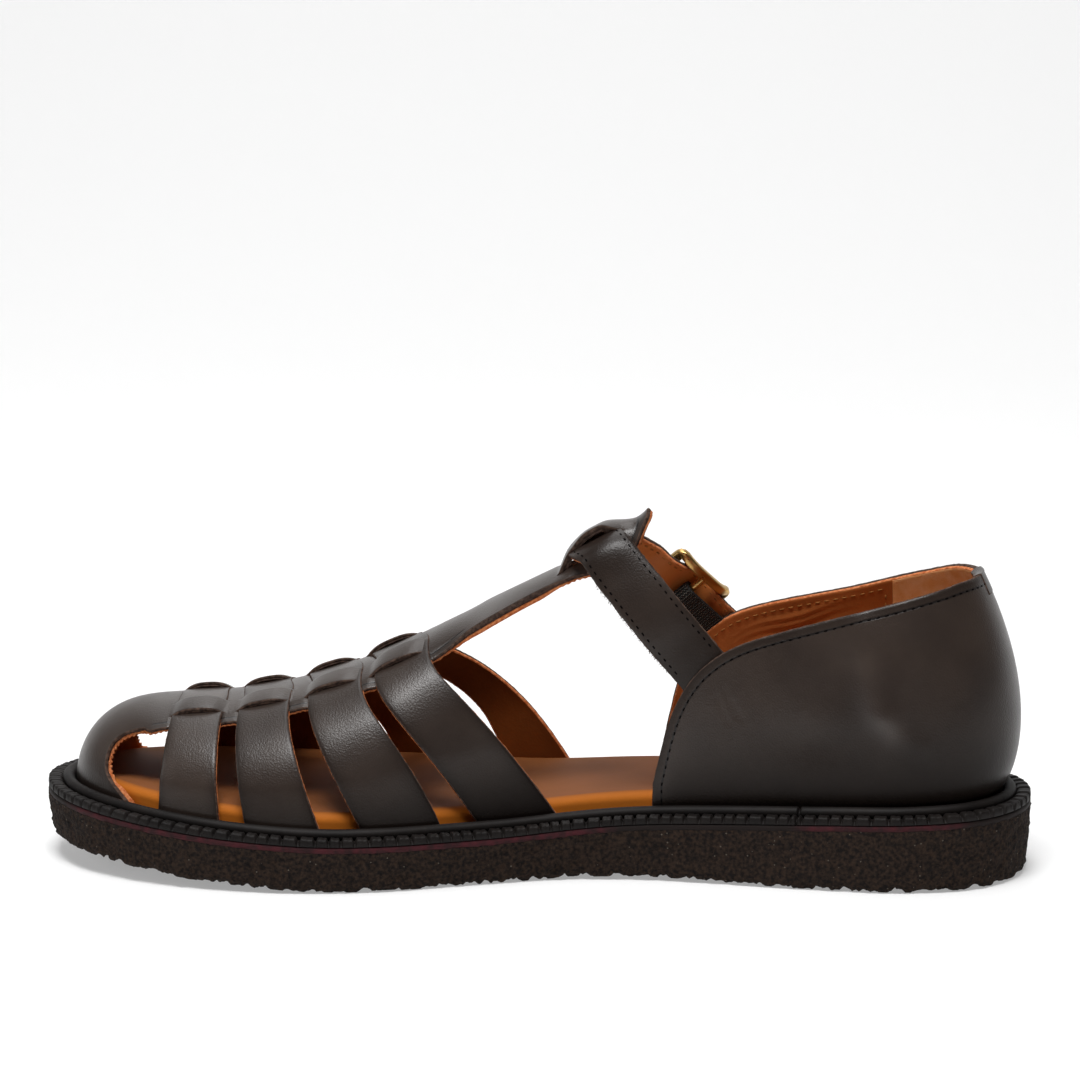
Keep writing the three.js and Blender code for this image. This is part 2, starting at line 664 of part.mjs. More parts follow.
// Point in the buckle's own frame: along the strap to its free end, across to the toe, away.
function atBuckle(along, across, away) {
  return buckle.point.clone()
    .addScaledVector(buckle.along, along)
    .addScaledVector(buckle.across, across)
    .addScaledVector(buckle.away, away + BAR_LEVEL);
}

// Turns a three.js shape drawn along x, across y and away z into the buckle's place.
function placedAtBuckle(geometry) {
  const turn = new THREE.Matrix4().makeBasis(buckle.along, buckle.across, buckle.away);
  return geometry.applyMatrix4(turn.setPosition(atBuckle(0, 0, 0)));
}

function buckleFrame() {
  const halfLength = BUCKLE_LENGTH / 2 - BAR / 2;
  const halfWidth = BUCKLE_INSIDE / 2 + BAR / 2;
  const outline = new THREE.Shape();
  const straightX = halfLength - BUCKLE_CORNER;
  const straightY = halfWidth - BUCKLE_CORNER;
  outline.absarc(straightX, straightY, BUCKLE_CORNER, 0, Math.PI / 2);
  outline.absarc(-straightX, straightY, BUCKLE_CORNER, Math.PI / 2, Math.PI);
  outline.absarc(-straightX, -straightY, BUCKLE_CORNER, Math.PI, 1.5 * Math.PI);
  outline.absarc(straightX, -straightY, BUCKLE_CORNER, 1.5 * Math.PI, 2 * Math.PI);
  const path = outline.getSpacedPoints(36).slice(0, -1);
  const rise = (x) => END_BAR_RISE * (x / halfLength) ** 2;
  const sections = path.map((here, i) => {
    const before = path[(i + path.length - 1) % path.length];
    const after = path[(i + 1) % path.length];
    const side = new THREE.Vector2(after.y - before.y, before.x - after.x).normalize();
    return steps(6).slice(0, -1).map((share) => {
      const angle = -2 * Math.PI * share;
      const out = Math.cos(angle) * BAR / 2;
      return atBuckle(here.x + side.x * out, here.y + side.y * out,
        rise(here.x) + Math.sin(angle) * BAR / 2);
    });
  });
  const bar = new THREE.CylinderGeometry(BAR / 2, BAR / 2, 2 * halfWidth, 10);
  return ringSolid(sections).add(solidFrom(placedAtBuckle(bar)));
}

// Prong: from the centre bar out through the strap and over the upper end bar.
function prong(radius, deeper = 0) {
  const start = BAR / 2 + GAP + PRONG / 2;
  const overStrap = STRAP_OVER_BAR + ANKLE_THICK;
  const overEnd = END_BAR_RISE + BAR / 2 + GAP + PRONG / 2;
  const half = BUCKLE_LENGTH / 2;
  const path = new THREE.CatmullRomCurve3([
    atBuckle(0, 0, start - deeper),
    atBuckle(-PRONG_BEND, 0, overStrap + PRONG_BEND),
    atBuckle(-half / 2, 0, overStrap + PRONG_BEND),
    atBuckle(-half + BAR / 2, 0, overEnd),
    atBuckle(-half - PRONG_TIP, 0, overEnd),
  ]);
  const section = new THREE.Shape().absarc(0, 0, radius, 0, 2 * Math.PI);
  return solidFrom(new THREE.ExtrudeGeometry(section, {
    steps: 12, curveSegments: 3, extrudePath: path, bevelEnabled: false,
  }));
}

// Elastic: a loop round the centre bar and a tail down to the edge of the lateral quarter.
function elastic() {
  const inner = BAR / 2 + GAP;
  const outer = inner + ELASTIC_THICK;
  const meet = Math.sqrt(outer * outer - inner * inner);
  const loop = new THREE.Shape();
  loop.moveTo(0, -outer);
  loop.lineTo(ELASTIC_LENGTH, -outer);
  loop.lineTo(ELASTIC_LENGTH, -inner);
  loop.lineTo(meet, -inner);
  loop.absarc(0, 0, outer, -Math.atan2(inner, meet), 1.5 * Math.PI);
  loop.holes.push(new THREE.Path().absarc(0, 0, inner, 0, 2 * Math.PI, true));
  const band = new THREE.ExtrudeGeometry(loop, {
    depth: ELASTIC_WIDTH, curveSegments: 10, bevelEnabled: false,
  });
  band.rotateX(Math.PI / 2);
  band.translate(0, ELASTIC_WIDTH / 2, 0);
  return solidFrom(placedAtBuckle(band))
    .subtract(quarters(GAP))
    .subtract(prong(PRONG / 2 + GAP, GAP));
}

// Leather footbed with a rounded edge, inside the walls of the upper.
const FOOTBED_INSET = 3.2;
const FOOTBED_EDGE = [
  { inset: 0, drop: 2.2 },
  { inset: 0.8, drop: 0.7 },
  { inset: 2.6, drop: 0 },
];

function insole() {
  const edge = FOOTBED_EDGE.map(({ inset, drop }) => (
    { out: -FOOTBED_INSET - inset, height: (x) => seat(x) + INSOLE_THICK - drop }
  ));
  return plateSolid([{ out: -FOOTBED_INSET, height: seat }, ...edge]);
}

// All the leather of the upper, joined where it crosses.
function upper() {
  const clearProng = prong(PRONG / 2 + GAP, GAP);
  let joined = vamp().subtract(toeOpening(1)).subtract(toeOpening(-1));
  for (const row of STRAPS) joined = joined.add(strap(row));
  joined = joined.add(ankleStrap().subtract(clearProng));
  return joined.add(quarters()).add(heelTab());
}

// Finished object

const MATERIALS = {
  crepe: new THREE.MeshStandardMaterial({ color: 0x2a1c19, roughness: 0.9 }),
  midsole: new THREE.MeshStandardMaterial({ color: 0x5a2024, roughness: 0.7 }),
  welt: new THREE.MeshStandardMaterial({ color: 0x211d1c, roughness: 0.6 }),
  leather: new THREE.MeshStandardMaterial({ color: 0x362b29, roughness: 0.5 }),
  lining: new THREE.MeshStandardMaterial({ color: 0xb9773f, roughness: 0.7 }),
  elastic: new THREE.MeshStandardMaterial({ color: 0x1b1818, roughness: 0.9 }),
  brass: new THREE.MeshStandardMaterial({ color: 0xc9a063, roughness: 0.3, metalness: 1 }),
};

const NODES = [
  { name: "outsole", solid: outsole(), material: MATERIALS.crepe },
  { name: "midsole", solid: midsole(), material: MATERIALS.midsole },
  { name: "welt", solid: welt(), material: MATERIALS.welt },
  { name: "insole", solid: insole(), material: MATERIALS.lining },
  { name: "upper", solid: upper(), material: MATERIALS.leather },
  { name: "elastic", solid: elastic(), material: MATERIALS.elastic },
  { name: "buckle_frame", solid: buckleFrame(), material: MATERIALS.brass },
  { name: "buckle_prong", solid: prong(PRONG / 2), material: MATERIALS.brass },
];

const group = new THREE.Group();
const widest = (side) => Math.max(...FEATHER.map((row) => row[side]));
group.position.set(-SOLE_LENGTH / 2, (widest("lateral") - widest("medial")) / 2, 0);

for (const { name, solid, material } of NODES) {
  const { numProp, vertProperties, triVerts } = solid.getMesh();
  const geometry = new THREE.BufferGeometry();
  geometry.setAttribute("position", new THREE.BufferAttribute(new Float32Array(vertProperties), numProp));
  geometry.setIndex(new THREE.BufferAttribute(new Uint32Array(triVerts), 1));
  const mesh = new THREE.Mesh(geometry, material);
  mesh.name = name;
  group.add(mesh);
}

export default group;
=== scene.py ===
"""Fisherman sandal for the right foot, dressed for its picture.

Lengths in the forms below are millimetres, measured as the shoemaker would: x from the back
edge of the sole to the toe, y to the inner (medial) side of the foot, z up from the floor.
They are turned to metres in the shared frame when a piece is made.
"""

import math

import bpy
import numpy as np
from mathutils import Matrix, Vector, noise


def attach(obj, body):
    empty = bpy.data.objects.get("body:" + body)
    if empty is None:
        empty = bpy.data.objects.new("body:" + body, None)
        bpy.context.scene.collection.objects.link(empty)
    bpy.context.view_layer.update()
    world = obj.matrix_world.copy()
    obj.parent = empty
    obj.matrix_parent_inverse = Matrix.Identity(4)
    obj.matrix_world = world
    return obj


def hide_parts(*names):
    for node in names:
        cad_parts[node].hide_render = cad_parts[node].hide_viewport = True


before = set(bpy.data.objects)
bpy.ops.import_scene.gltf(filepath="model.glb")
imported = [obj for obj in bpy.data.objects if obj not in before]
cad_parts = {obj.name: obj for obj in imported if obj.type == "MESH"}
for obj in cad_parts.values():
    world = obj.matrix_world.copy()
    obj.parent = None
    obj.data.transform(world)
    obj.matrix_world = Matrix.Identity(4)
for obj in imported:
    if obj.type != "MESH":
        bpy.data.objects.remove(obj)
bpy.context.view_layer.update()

# Sizes of the shoe, the same as the solids

MM = 0.001
SOLE_LENGTH = 268
GAP = 0.3
WELT_REACH = 7.5
MIDSOLE_THICK = 0.9
SEAT_RISE = 2 * GAP + MIDSOLE_THICK
INSOLE_THICK = 6.7
TOE_CENTRE = 236
MEDIAL_FULLNESS = 2.3
LATERAL_FULLNESS = 2.1
WELT_PITCH = 3.8
RIB_DEPTH = 1.2
BEAD_TOP = 3.9
ANKLE_WIDTH = 14.4
ANKLE_THICK = 2.2

# Foot of the upper, half-widths either side of the axis from toe to heel
FEATHER = {
    "x": [260.5, 257.5, 249, 236, 220, 200, 176, 150, 126, 102, 78, 54, 34, 19, 10.5, 7.5],
    "medial": [0, 12, 23, 31.5, 37, 39.5, 37, 27.5, 19.5, 18, 21, 24.5, 25.5, 21, 12, 0],
    "lateral": [0, 11, 21.5, 30, 36, 40.5, 42, 39.5, 35.5, 31.5, 28.5, 27, 26, 21, 12, 0],
}
SOLE = {
    "x": [0, 60, 105, 140, 180, 210, 240, 268],
    "bottom": [0, 0, 0.7, 0, 0, 1.3, 3.8, 6.4],
    "crepe": [17.8, 16.2, 13.1, 11.1, 11, 11.1, 11.1, 10.8],
}
SPINE = {
    "x": [104, 106.5, 111, 117, 124, 136, 150, 161, 178, 192, 205, 217, 236],
    "ridge": [96.6, 93.2, 89.6, 86.3, 82.8, 76.8, 69.2, 63, 54.8, 49.6, 46, 44, 42.8],
    "half": [4.6, 8.2, 8.8, 8.8, 8, 8.2, 12, 16.5, 19.5, 20, 20.5, 20.5, 20.5],
}
# Front and rear edge of each cross strap, and how late they sweep from foot to head on each side
STRAPS = [
    {"foot": (232.5, 215.5), "head": (231.5, 217.0), "medial": (1, 1), "lateral": (1.5, 1.2)},
    {"foot": (207.5, 187.5), "head": (213.5, 199.0), "medial": (1, 1), "lateral": (1.5, 1.2)},
    {"foot": (175.7, 156.2), "head": (195.0, 180.2), "medial": (1, 1.2), "lateral": (1.5, 1.2)},
    {"foot": (145.4, 125.2), "head": (177.6, 162.5), "medial": (1, 1), "lateral": (1.75, 1.15)},
]
SLANT = {"x": [151, 161, 195, 220, 236], "forward": [0, 4, 3, 1.5, 0]}
SLANT_HALF = 9
QUARTER = {
    "x": [7.5, 16, 28, 49, 73, 82, 88.5, 92.5, 96, 98.5, 101],
    "medial": [81, 80.4, 78.2, 72.8, 65.6, 61.6, 56.5, 51.3, 44.3, 36, 25],
    "lateral": [81, 80.2, 77.3, 71.9, 66.5, 63.1, 58.2, 52.9, 45, 36, 25],
    "belly": [5.6, 5, 3.8, 2.8, 2, 1.6, 1.3, 1, 0.7, 0.4, 0.1],
    "medial_lean": [6.4, 6, 4.4, 3.4, 1.6, 0.6, 0, 0, 0, 0, 0],
    "lateral_lean": [6.4, 6, 4.4, 4, 4.4, 4.8, 4.6, 4, 2.6, 1.4, 0.4],
}
QUARTER_BACK = QUARTER["x"][0]
QUARTER_FRONT = QUARTER["x"][-1]
ANKLE = [
    (81.4, 17.4, 48.4), (88.9, 17.5, 57.4), (97.9, 17.4, 67.9), (107.9, 14.2, 79.2),
    (113.6, 8.6, 84.3), (117.4, 4, 86.4), (118, 0, 86.6), (113.8, -7.5, 84.3),
    (104.6, -15.5, 77.3), (96.2, -21.5, 69.7), (87.6, -26.2, 59.7), (78.6, -29, 47.7),
]
ANKLE_AXIS_HEIGHT = 55
INSTEP_LEAN = 0.6
# Edge of the toe opening: how far forward it lies at each height, which is read as x
TOE_EDGE = {
    "x": [18.5, 21.5, 25, 28.5, 31.5, 34.2, 36.2, 37.6, 38.6],
    "forward": [241.2, 244.3, 247.9, 248.9, 248.4, 246.8, 244.2, 240.6, 236],
}
# Slits of the weave, as shares of the spine's half-width, and how far each strip between them
# stands off the last where a strap crosses
BAND_OUTER = 0.8
BAND_INNER = 0.44
CROSSED_LEVEL = {"wing": -1.0, "band": 2.05, "middle": -1.3}
# How far the spine's outer edges sink in the weave, and the lengths between which they do
TAB_SINK = 0.35
TAB_REAR = 150
TAB_FRONT = 232
# T-bar between the head and the weave: flatter than the foot, and falling to the medial side
BAR_REAR = 122
WEAVE_REAR = 160
FOOT_UNDER_BAR = 20
BAR_SINK = 1.5
BAR_TILT = 0.85
# Head of the T-bar: slit on both sides, arched over the ankle strap, curled on the medial side
HEAD_SLIT = 0.55
HEAD_FRONT = 127.8
HEAD_REAR = 109
HEAD_TIP = 104
HEAD_LIFT = 5.4
HEAD_EASE = 11
HEAD_CURL = (1.1, 1.7)

# Small helpers


def smooth(share):
    share = np.clip(share, 0, 1)
    return share * share * (3 - 2 * share)


def mix(a, b, share):
    return a + (b - a) * share


def hump(distance, width):
    """A soft rise of height 1 that has died away at about two widths."""
    return np.exp(-((distance / width) ** 2))


def column(table, name):
    """Smooth reading of one column of a table, level where the column turns."""
    at = np.array(table["x"], float)
    value = np.array(table[name], float)
    rise = np.diff(value)
    slope = np.gradient(value)
    slope[1:-1] = (value[2:] - value[:-2]) / (at[2:] - at[:-2])
    slope[1:-1][rise[:-1] * rise[1:] <= 0] = 0
    slope[0] = rise[0] / (at[1] - at[0])
    slope[-1] = rise[-1] / (at[-1] - at[-2])

    def read(x):
        x = np.clip(x, at[0], at[-1])
        i = np.clip(np.searchsorted(at, x, side="right") - 1, 0, len(at) - 2)
        span = at[i + 1] - at[i]
        s = (x - at[i]) / span
        bend = (1 - s) * slope[i] - s * slope[i + 1]
        return value[i] + rise[i] * smooth(s) + span * s * (1 - s) * bend

    return read


def curve_through(points, closed, count):
    """Points along a smooth curve through the given ones that doesn't overshoot."""
    p = np.asarray(points, float)
    if closed:
        p = np.vstack([p[-1:], p, p[:2]])
    else:
        p = np.vstack([2 * p[0] - p[1], p, 2 * p[-1] - p[-2]])
    spans = len(p) - 3
    at = np.linspace(0, spans, count, endpoint=not closed)
    i = np.minimum(at.astype(int), spans - 1)
    s = (at - i)[:, None]
    a, b, c, d = p[i], p[i + 1], p[i + 2], p[i + 3]
    steps = ((a, b), (b, c), (c, d))
    ab, bc, cd = (np.sqrt(np.linalg.norm(v - u, axis=1))[:, None] for u, v in steps)
    start = bc * ((b - a) / ab - (c - a) / (ab + bc)) + (c - b)
    end = (c - b) + bc * ((d - c) / cd - (d - b) / (bc + cd))
    swing = s * (1 - s) * ((1 - s) * start - s * end)
    return mix(b, c, smooth(s)) + swing


def unit(vectors):
    return vectors / np.maximum(np.linalg.norm(vectors, axis=-1, keepdims=True), 1e-9)


def travelled(points):
    """Length along a run of points, up to each of them."""
    return np.concatenate([[0], np.cumsum(np.linalg.norm(np.diff(points, axis=0), axis=1))])


def read_along(points, values, lengths):
    """Rows of `values`, which belong to a run of points, at given lengths along the run."""
    at = travelled(points)
    return np.stack([np.interp(lengths, at, values[:, k]) for k in range(values.shape[1])], -1)


def lumpy(points, *lumps):
    """Seedless noise in the material: the sum of lumps that are each a (height, size)."""
    total = np.zeros(np.shape(points)[:-1])
    for height, size in lumps:
        flat = (np.reshape(points, (-1, 3)) / size).tolist()
        total += height * np.array([noise.noise(p) for p in flat]).reshape(total.shape)
    return total


# Feather line and sole levels

_outline = list(zip(FEATHER["x"], FEATHER["medial"]))
_outline += [(x, -y) for x, y in zip(FEATHER["x"], FEATHER["lateral"])][-2:0:-1]
_feather = curve_through(_outline, True, 7200)
_feather = np.vstack([_feather, _feather[:1]])
_feather_at = travelled(_feather)
_feather_along = unit(np.gradient(_feather, axis=0))
FEATHER_LENGTH = _feather_at[-1]
HEEL_TURN = _feather_at[np.argmin(_feather[:, 0])] / FEATHER_LENGTH


def rim(turn, out=0.0):
    """Plan of the feather line moved outward: turn 0 at the toe, then medial, heel, lateral."""
    at = np.mod(turn, 1.0) * FEATHER_LENGTH
    x, y = (np.interp(at, _feather_at, _feather[:, k]) for k in (0, 1))
    along_x, along_y = (np.interp(at, _feather_at, _feather_along[:, k]) for k in (0, 1))
    return x + along_y * out, y - along_x * out


def rim_turn(x, side):
    """Turn of the feather line at length x, medial side 1, lateral side -1."""
    heel = np.argmin(_feather[:, 0])
    at, length = _feather[:, 0], _feather_at / FEATHER_LENGTH
    if side > 0:
        return np.interp(x, at[heel::-1], length[heel::-1])
    return np.interp(x, at[heel:], length[heel:])


def half_width(x, side):
    medial = rim(rim_turn(x, 1))[1]
    lateral = -rim(rim_turn(x, -1))[1]
    return np.where(np.asarray(side) > 0, medial, lateral)


sole_bottom = column(SOLE, "bottom")
crepe_thick = column(SOLE, "crepe")


def crepe_top(x):
    return sole_bottom(x) + crepe_thick(x)


def seat(x):
    """Level on which the upper, the welt and the footbed stand."""
    return crepe_top(x) + SEAT_RISE


# Last: outer face of the upper

ridge = column(SPINE, "ridge")
spine_half = column(SPINE, "half")
slant_at = column(SLANT, "forward")


def slant(x, y):
    return slant_at(x) * smooth(0.5 - y / (2 * SLANT_HALF))


def rise_at(reach, fullness):
    return (1 - np.clip(reach, 0, 1) ** fullness) ** (1 / fullness)


def fullness_of(side):
    return np.where(np.asarray(side) > 0, MEDIAL_FULLNESS, LATERAL_FULLNESS)


def last_face(x, reach, side):
    z = mix(seat(x), ridge(x), rise_at(reach, fullness_of(side)))
    return np.stack([x, side * reach * half_width(x, side), z], -1)


def spine_face(station, share):
    """Top of the foot at a station; under the T-bar the foot is rounder than the sole is wide."""
    y = share * spine_half(station)
    x = station + slant(station, y)
    foot = mix(FOOT_UNDER_BAR, half_width(x, y), smooth((x - BAR_REAR) / (WEAVE_REAR - BAR_REAR)))
    z = mix(seat(x), ridge(x), rise_at(np.abs(y) / foot, fullness_of(y)))
    bar = ridge(x) - BAR_SINK - BAR_TILT * share - BAR_TILT * share**2
    free = smooth((x - BAR_REAR) / 7) * smooth((WEAVE_REAR - x) / 14)
    return np.stack([x, y, mix(z, bar, free)], -1)


quarter_edge = {1: column(QUARTER, "medial"), -1: column(QUARTER, "lateral")}
quarter_lean = {1: column(QUARTER, "medial_lean"), -1: column(QUARTER, "lateral_lean")}
quarter_belly = column(QUARTER, "belly")
# The belly is widest a little under the middle, and the lean comes near the top
BELLY_POWER = 0.8
LEAN_POWER = 1.7


def by_side(turn, columns, x):
    return np.where(np.mod(turn, 1) < HEEL_TURN, columns[1](x), columns[-1](x))


def quarter_face(turn, height):
    x, _ = rim(turn)
    foot = seat(x) + BEAD_TOP
    share = np.maximum(height - foot, 0) / (by_side(turn, quarter_edge, x) - foot)
    low = share**BELLY_POWER
    belly = 4 * quarter_belly(x) * low * (1 - low)
    px, py = rim(turn, belly - by_side(turn, quarter_lean, x) * share**LEAN_POWER)
    return np.stack([px, py, height + 0 * px], -1)


# Making pieces

AXIS_TO_MIDDLE = (max(FEATHER["lateral"]) - max(FEATHER["medial"])) / 2
FRAME_SHIFT = np.array([-SOLE_LENGTH / 2, AXIS_TO_MIDDLE, 0])
OUTER, RAW_EDGE, LINING_EDGE, INNER, GRIP = range(5)
# Cut edge from the outer face inward: share of the thickness, bulge, and the layer that shows
EDGE_ROWS = [
    (0.1, 0.2, RAW_EDGE), (0.28, 0.32, RAW_EDGE), (0.52, 0.3, RAW_EDGE), (0.57, 0.1, RAW_EDGE),
    (0.64, 1.0, LINING_EDGE), (0.9, 0.8, LINING_EDGE),
]
# Bulge of the lining's layer inside a slit, and fibres of an edge as (height, size)
SLIT_BULGE = 0.3
EDGE_FIBRES = ((1, 0.55), (0.6, 1.7))
SCALLOP_PITCH = 1.5


def grid_faces(rows, places, ring=False):
    """Four-sided faces of a grid. Rows across places looks outward."""
    r = np.arange(rows if ring else rows - 1)[:, None]
    p = np.arange(places - 1)[None, :]
    here = r * places + p
    there = (r + 1) % rows * places + p
    return np.stack([here, there, there + 1, here + 1], -1).reshape(-1, 4)


def joined(parts):
    """Several (points, faces, kinds) as one."""
    points, faces, kinds, count = [], [], [], 0
    for part_points, part_faces, part_kinds in parts:
        points.append(np.reshape(part_points, (-1, 3)))
        faces.append(part_faces + count)
        kinds.append(np.broadcast_to(part_kinds, len(part_faces)))
        count += len(points[-1])
    return np.concatenate(points), np.concatenate(faces), np.concatenate(kinds)


def make_piece(name, part, materials, node=None, marks=None):
    """A piece of the shoe as a mesh that rides on the body, with marks for its material."""
    points, faces, kinds = part
    mesh = bpy.data.meshes.new(name)
    corners = [list(dict.fromkeys(face)) for face in faces.tolist()]
    mesh.from_pydata(((points + FRAME_SHIFT) * MM).tolist(), [], corners)
    for material in materials:
        mesh.materials.append(material)
    mesh.polygons.foreach_set("material_index", np.ascontiguousarray(kinds, np.int32))
    mesh.polygons.foreach_set("use_smooth", np.ones(len(faces), bool))
    for mark, values in (marks or {}).items():
        layer = mesh.attributes.new(mark, "FLOAT", "POINT")
        layer.data.foreach_set("value", np.ascontiguousarray(values, np.float32))
    piece = bpy.data.objects.new(name, mesh)
    bpy.context.scene.collection.objects.link(piece)
    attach(piece, "root")
    if node:
        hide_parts(node)


def outward(points, faces):
    """Outward direction at each point of a surface."""
    a, b, c, d = (points[faces[:, k]] for k in range(4))
    face_away = np.cross(c - a, d - b)
    total = np.zeros_like(points)
    for k in range(4):
        np.add.at(total, faces[:, k], face_away)
    return unit(total)


def raised(base, level):
    """A grid of points moved outward by a level at each of them."""
    away = outward(base.reshape(-1, 3), grid_faces(*base.shape[:2])).reshape(base.shape)
    return base + away * np.broadcast_to(level, base.shape[:2])[..., None]


def grid_part(points):
    return points, grid_faces(*points.shape[:2]), 0


def welded(points, faces, *marks):
    """The same surface with points that lie together made one."""
    together = np.round(points, 3) + 0.0
    _, first, where = np.unique(together, axis=0, return_index=True, return_inverse=True)
    faces = where.reshape(-1)[faces]
    broad = np.array([len(set(face)) > 2 for face in faces.tolist()])
    return (points[first], faces[broad], *(mark[first] for mark in marks))


def free_edges(faces):
    """Closed runs of points round the edges of a surface, which lies on their left."""
    pairs = np.concatenate([faces[:, [k, (k + 1) % 4]] for k in range(4)])
    pairs = pairs[pairs[:, 0] != pairs[:, 1]]
    count = faces.max() + 1
    free = pairs[~np.isin(pairs[:, 0] * count + pairs[:, 1], pairs[:, 1] * count + pairs[:, 0])]
    onward = {int(a): int(b) for a, b in free}
    runs = []
    while onward:
        first = next(iter(onward))
        run = [first]
        while run[-1] in onward:
            following = onward.pop(run[-1])
            if following == first:
                break
            run.append(following)
        runs.append(np.array(run))
    return runs


def cut_leather(points, thick, faces=None, lining_reach=0.28, fuzz=0.1, inner=INNER, scallop=0.0):
    """Leather lined with leather: outer face, inner face, and a raw edge that shows both layers.

    The outer face is a grid of points, or points with their faces.
    """
    if faces is None:
        faces = grid_faces(*points.shape[:2])
    points = points.reshape(-1, 3)
    count = len(points)
    away = outward(points, faces)
    thick = np.broadcast_to(thick, count)[:, None]
    lining_reach = np.broadcast_to(lining_reach, count)
    parts = [points, points - away * thick]
    quads = [faces, faces[:, ::-1] + count]
    kinds = [np.full(len(faces), OUTER), np.broadcast_to(inner, len(faces))]
    start = 2 * count
    runs = free_edges(faces)
    outline = max(len(run) for run in runs)
    for run in runs:
        edge = points[run]
        along = unit(np.roll(edge, -1, 0) - np.roll(edge, 1, 0))
        out = unit(np.cross(along, away[run]))
        rings = [run]
        lined = len(run) == outline
        wave = scallop * np.sin(2 * np.pi * travelled(edge) / SCALLOP_PITCH)
        for deep, bulge, kind in EDGE_ROWS:
            bulge = np.full(len(run), bulge)
            if kind == LINING_EDGE and lined:
                bulge = bulge * lining_reach[run] * (1 + wave)
            elif kind == LINING_EDGE:
                bulge = np.minimum(bulge, SLIT_BULGE)
            ring = edge - away[run] * thick[run] * deep + out * bulge[:, None]
            parts.append(ring + out * (fuzz * lumpy(ring, *EDGE_FIBRES))[:, None])
            rings.append(start + np.arange(len(run)))
            start += len(run)
        rings.append(run + count)
        layers = [row[2] for row in EDGE_ROWS] + [LINING_EDGE]
        for upper, lower, layer in zip(rings, rings[1:], layers):
            quads.append(np.stack([np.roll(upper, -1), upper, lower, np.roll(lower, -1)], -1))
            kinds.append(np.full(len(run), layer if lined else RAW_EDGE))
    return np.concatenate(parts), np.concatenate(quads), np.concatenate(kinds)


def filled(values, count, fill):
    """Marks of a sheet's two faces, and a plain value for its edges."""
    return np.concatenate([values, values, np.full(count - 2 * len(values), fill)])


# Materials


def linear(colour):
    """An sRGB hex colour as linear light."""
    parts = [int(colour[k : k + 2], 16) / 255 for k in (1, 3, 5)]
    return [c / 12.92 if c < 0.04045 else ((c + 0.055) / 1.055) ** 2.4 for c in parts] + [1.0]


def node(tree, kind, sockets=None, out=0, **settings):
    """Adds a node, sets it up, links or sets its inputs, and gives one of its outputs."""
    made = tree.nodes.new("ShaderNode" + kind)
    for name, value in settings.items():
        setattr(made, name, value)
    for name, value in (sockets or {}).items():
        if isinstance(value, bpy.types.NodeSocket):
            tree.links.new(value, made.inputs[name])
        else:
            made.inputs[name].default_value = value
    return made.outputs[out] if made.outputs else None


def finish(name, build, surface):
    """A material: `build` draws its pattern and returns what drives the surface."""
    material = bpy.data.materials.new(name)
    material.use_nodes = True
    tree = material.node_tree
    tree.nodes.clear()
    place = node(tree, "TexCoord", out="Object")
    shader = node(tree, "BsdfPrincipled", {**surface, **build(tree, place)})
    node(tree, "OutputMaterial", {"Surface": shader})
    return material


def two_tones(tree, place, size, a, b):
    """Cloudy change between two colours, with clouds of the given size in millimetres."""
    cloud = node(tree, "TexNoise", {"Vector": place, "Scale": 1 / MM / size, "Detail": 3.0})
    spread = node(tree, "MapRange", {"Value": cloud, "From Min": 0.35, "From Max": 0.65})
    return node(tree, "Mix", {0: spread, 6: linear(a), 7: linear(b)}, out=2, data_type="RGBA")


def marked(tree, mark, plain, full):
    """Colour that goes from plain to full with one of the piece's marks."""
    amount = node(tree, "Attribute", out="Fac", attribute_name=mark)
    return node(tree, "Mix", {0: amount, 6: plain, 7: full}, out=2, data_type="RGBA")


def grained(cloud, tones, texture, grains, depth, strength, **settings):
    """Two cloudy tones over one fine relief: clouds and depth in millimetres, grains to a metre."""

    def build(tree, place):
        height = node(tree, texture, {"Vector": place, "Scale": grains, **settings})
        relief = node(tree, "Bump", {"Height": height, "Strength": strength, "Distance": depth * MM})
        return {"Base Color": two_tones(tree, place, cloud, *tones), "Normal": relief}

    return build


def pressed_line(tree):
    """A line pressed into the leather, drawn where the piece's from_line mark is near zero."""
    mark = node(tree, "Attribute", out="Fac", attribute_name="from_line")
    off = node(tree, "Math", {0: mark}, operation="ABSOLUTE")
    half_line = {"Value": off, "From Min": 0.05, "From Max": 0.5}
    return node(tree, "MapRange", half_line, interpolation_type="SMOOTHSTEP")


# Calf dyed dark, waxed and brushed. Its colour carries painted shade and a painted sheen: near
# black where the mark is low, brown with more gloss where it is high. Pores, folds and clouds of wax
# are counted to a metre. Pores and folds are about twice as coarse as calf's own, so that they show.
CALF_PORES = 2100
CALF_FOLDS = 1900
WAX_CLOUDS = 120


